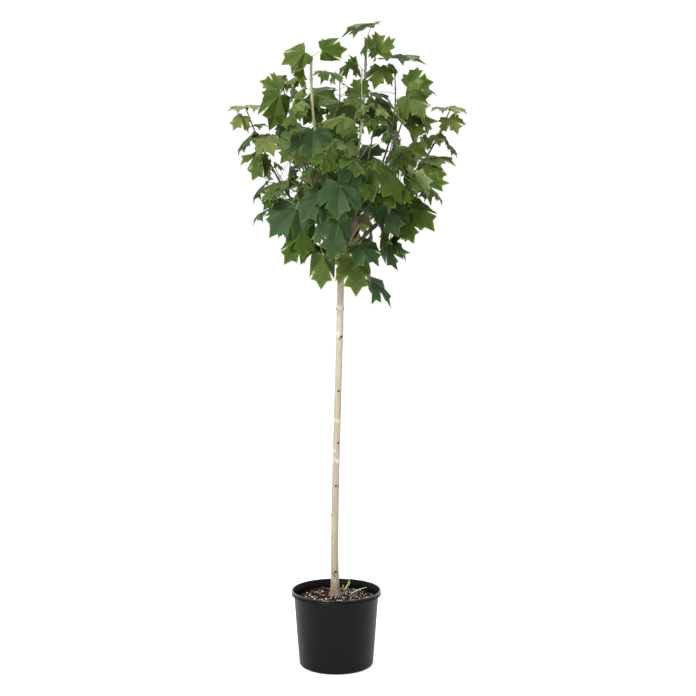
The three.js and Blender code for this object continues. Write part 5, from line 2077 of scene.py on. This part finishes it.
class MAPLE_OT_stage(bpy.types.Operator):
    """Sets up the pale floor, the soft light and the camera"""

    bl_idname = "maple.stage"
    bl_label = "Stage"

    def execute(self, context):
        settings = context.scene.maple_stage
        scene = context.scene
        corners = [(-1, -1), (1, -1), (1, 1), (-1, 1)]
        places = [(x * FLOOR_RADIUS, y * FLOOR_RADIUS, FLOOR_LEVEL) for x, y in corners]
        floor = add_mesh("floor", places, [(0, 1, 2, 3)], smooth=False)
        material, _, _ = new_material("floor", FLOOR_COLOUR, 0.9, Emission_Strength=FLOOR_GLOW)
        floor.data.materials.append(material)
        world = bpy.data.worlds.new("even light")
        world.use_nodes = True
        background = world.node_tree.nodes["Background"]
        background.inputs["Color"].default_value = (1, 1, 1, 1)
        background.inputs["Strength"].default_value = settings.daylight
        scene.world = world
        add_light("key", *KEY_LIGHT)
        add_light("top", *TOP_LIGHT)
        scene.view_settings.view_transform = "Standard"
        camera = bpy.data.objects.new("camera", bpy.data.cameras.new("camera"))
        camera.data.lens = settings.lens
        camera.location = (CAMERA_SIDE, -settings.distance, settings.height)
        aim = Vector((CAMERA_SIDE, 0, AIM_HEIGHT)) - camera.location
        camera.rotation_euler = aim.to_track_quat("-Z", "Y").to_euler()
        scene.collection.objects.link(camera)
        scene.camera = camera
        return {"FINISHED"}


class MAPLE_PT_sidebar(bpy.types.Panel):
    """Lists the maple's pieces and settings"""

    bl_label = "Potted Globe Maple"
    bl_idname = "MAPLE_PT_sidebar"
    bl_space_type = "VIEW_3D"
    bl_region_type = "UI"
    bl_category = "Maple"

    def draw(self, context):
        for operator in OPERATORS:
            self.layout.operator(operator.bl_idname)
        for group in SETTINGS:
            box = self.layout.box()
            settings = getattr(context.scene, group)
            for name in settings.__annotations__:
                box.prop(settings, name)


SETTINGS = {
    "maple_pot": MaplePotSettings,
    "maple_soil": MapleSoilSettings,
    "maple_bark": MapleBarkSettings,
    "maple_leaves": MapleLeafSettings,
    "maple_stage": MapleStageSettings,
}
OPERATORS = (MAPLE_OT_stage, MAPLE_OT_pot, MAPLE_OT_soil, MAPLE_OT_trunk, MAPLE_OT_shoots, MAPLE_OT_leaves)


def register():
    for name, group in SETTINGS.items():
        bpy.utils.register_class(group)
        setattr(bpy.types.Scene, name, PointerProperty(type=group))
    for cls in (*OPERATORS, MAPLE_PT_sidebar):
        bpy.utils.register_class(cls)


def unregister():
    for cls in (MAPLE_PT_sidebar, *reversed(OPERATORS)):
        bpy.utils.unregister_class(cls)
    for name, group in reversed(SETTINGS.items()):
        delattr(bpy.types.Scene, name)
        bpy.utils.unregister_class(group)


def main():
    register()
    bpy.ops.maple.stage()
    bpy.ops.maple.pot()
    bpy.ops.maple.soil()
    bpy.ops.maple.trunk()
    bpy.ops.maple.shoots()
    bpy.ops.maple.leaves()


if __name__ == "__main__":
    main()
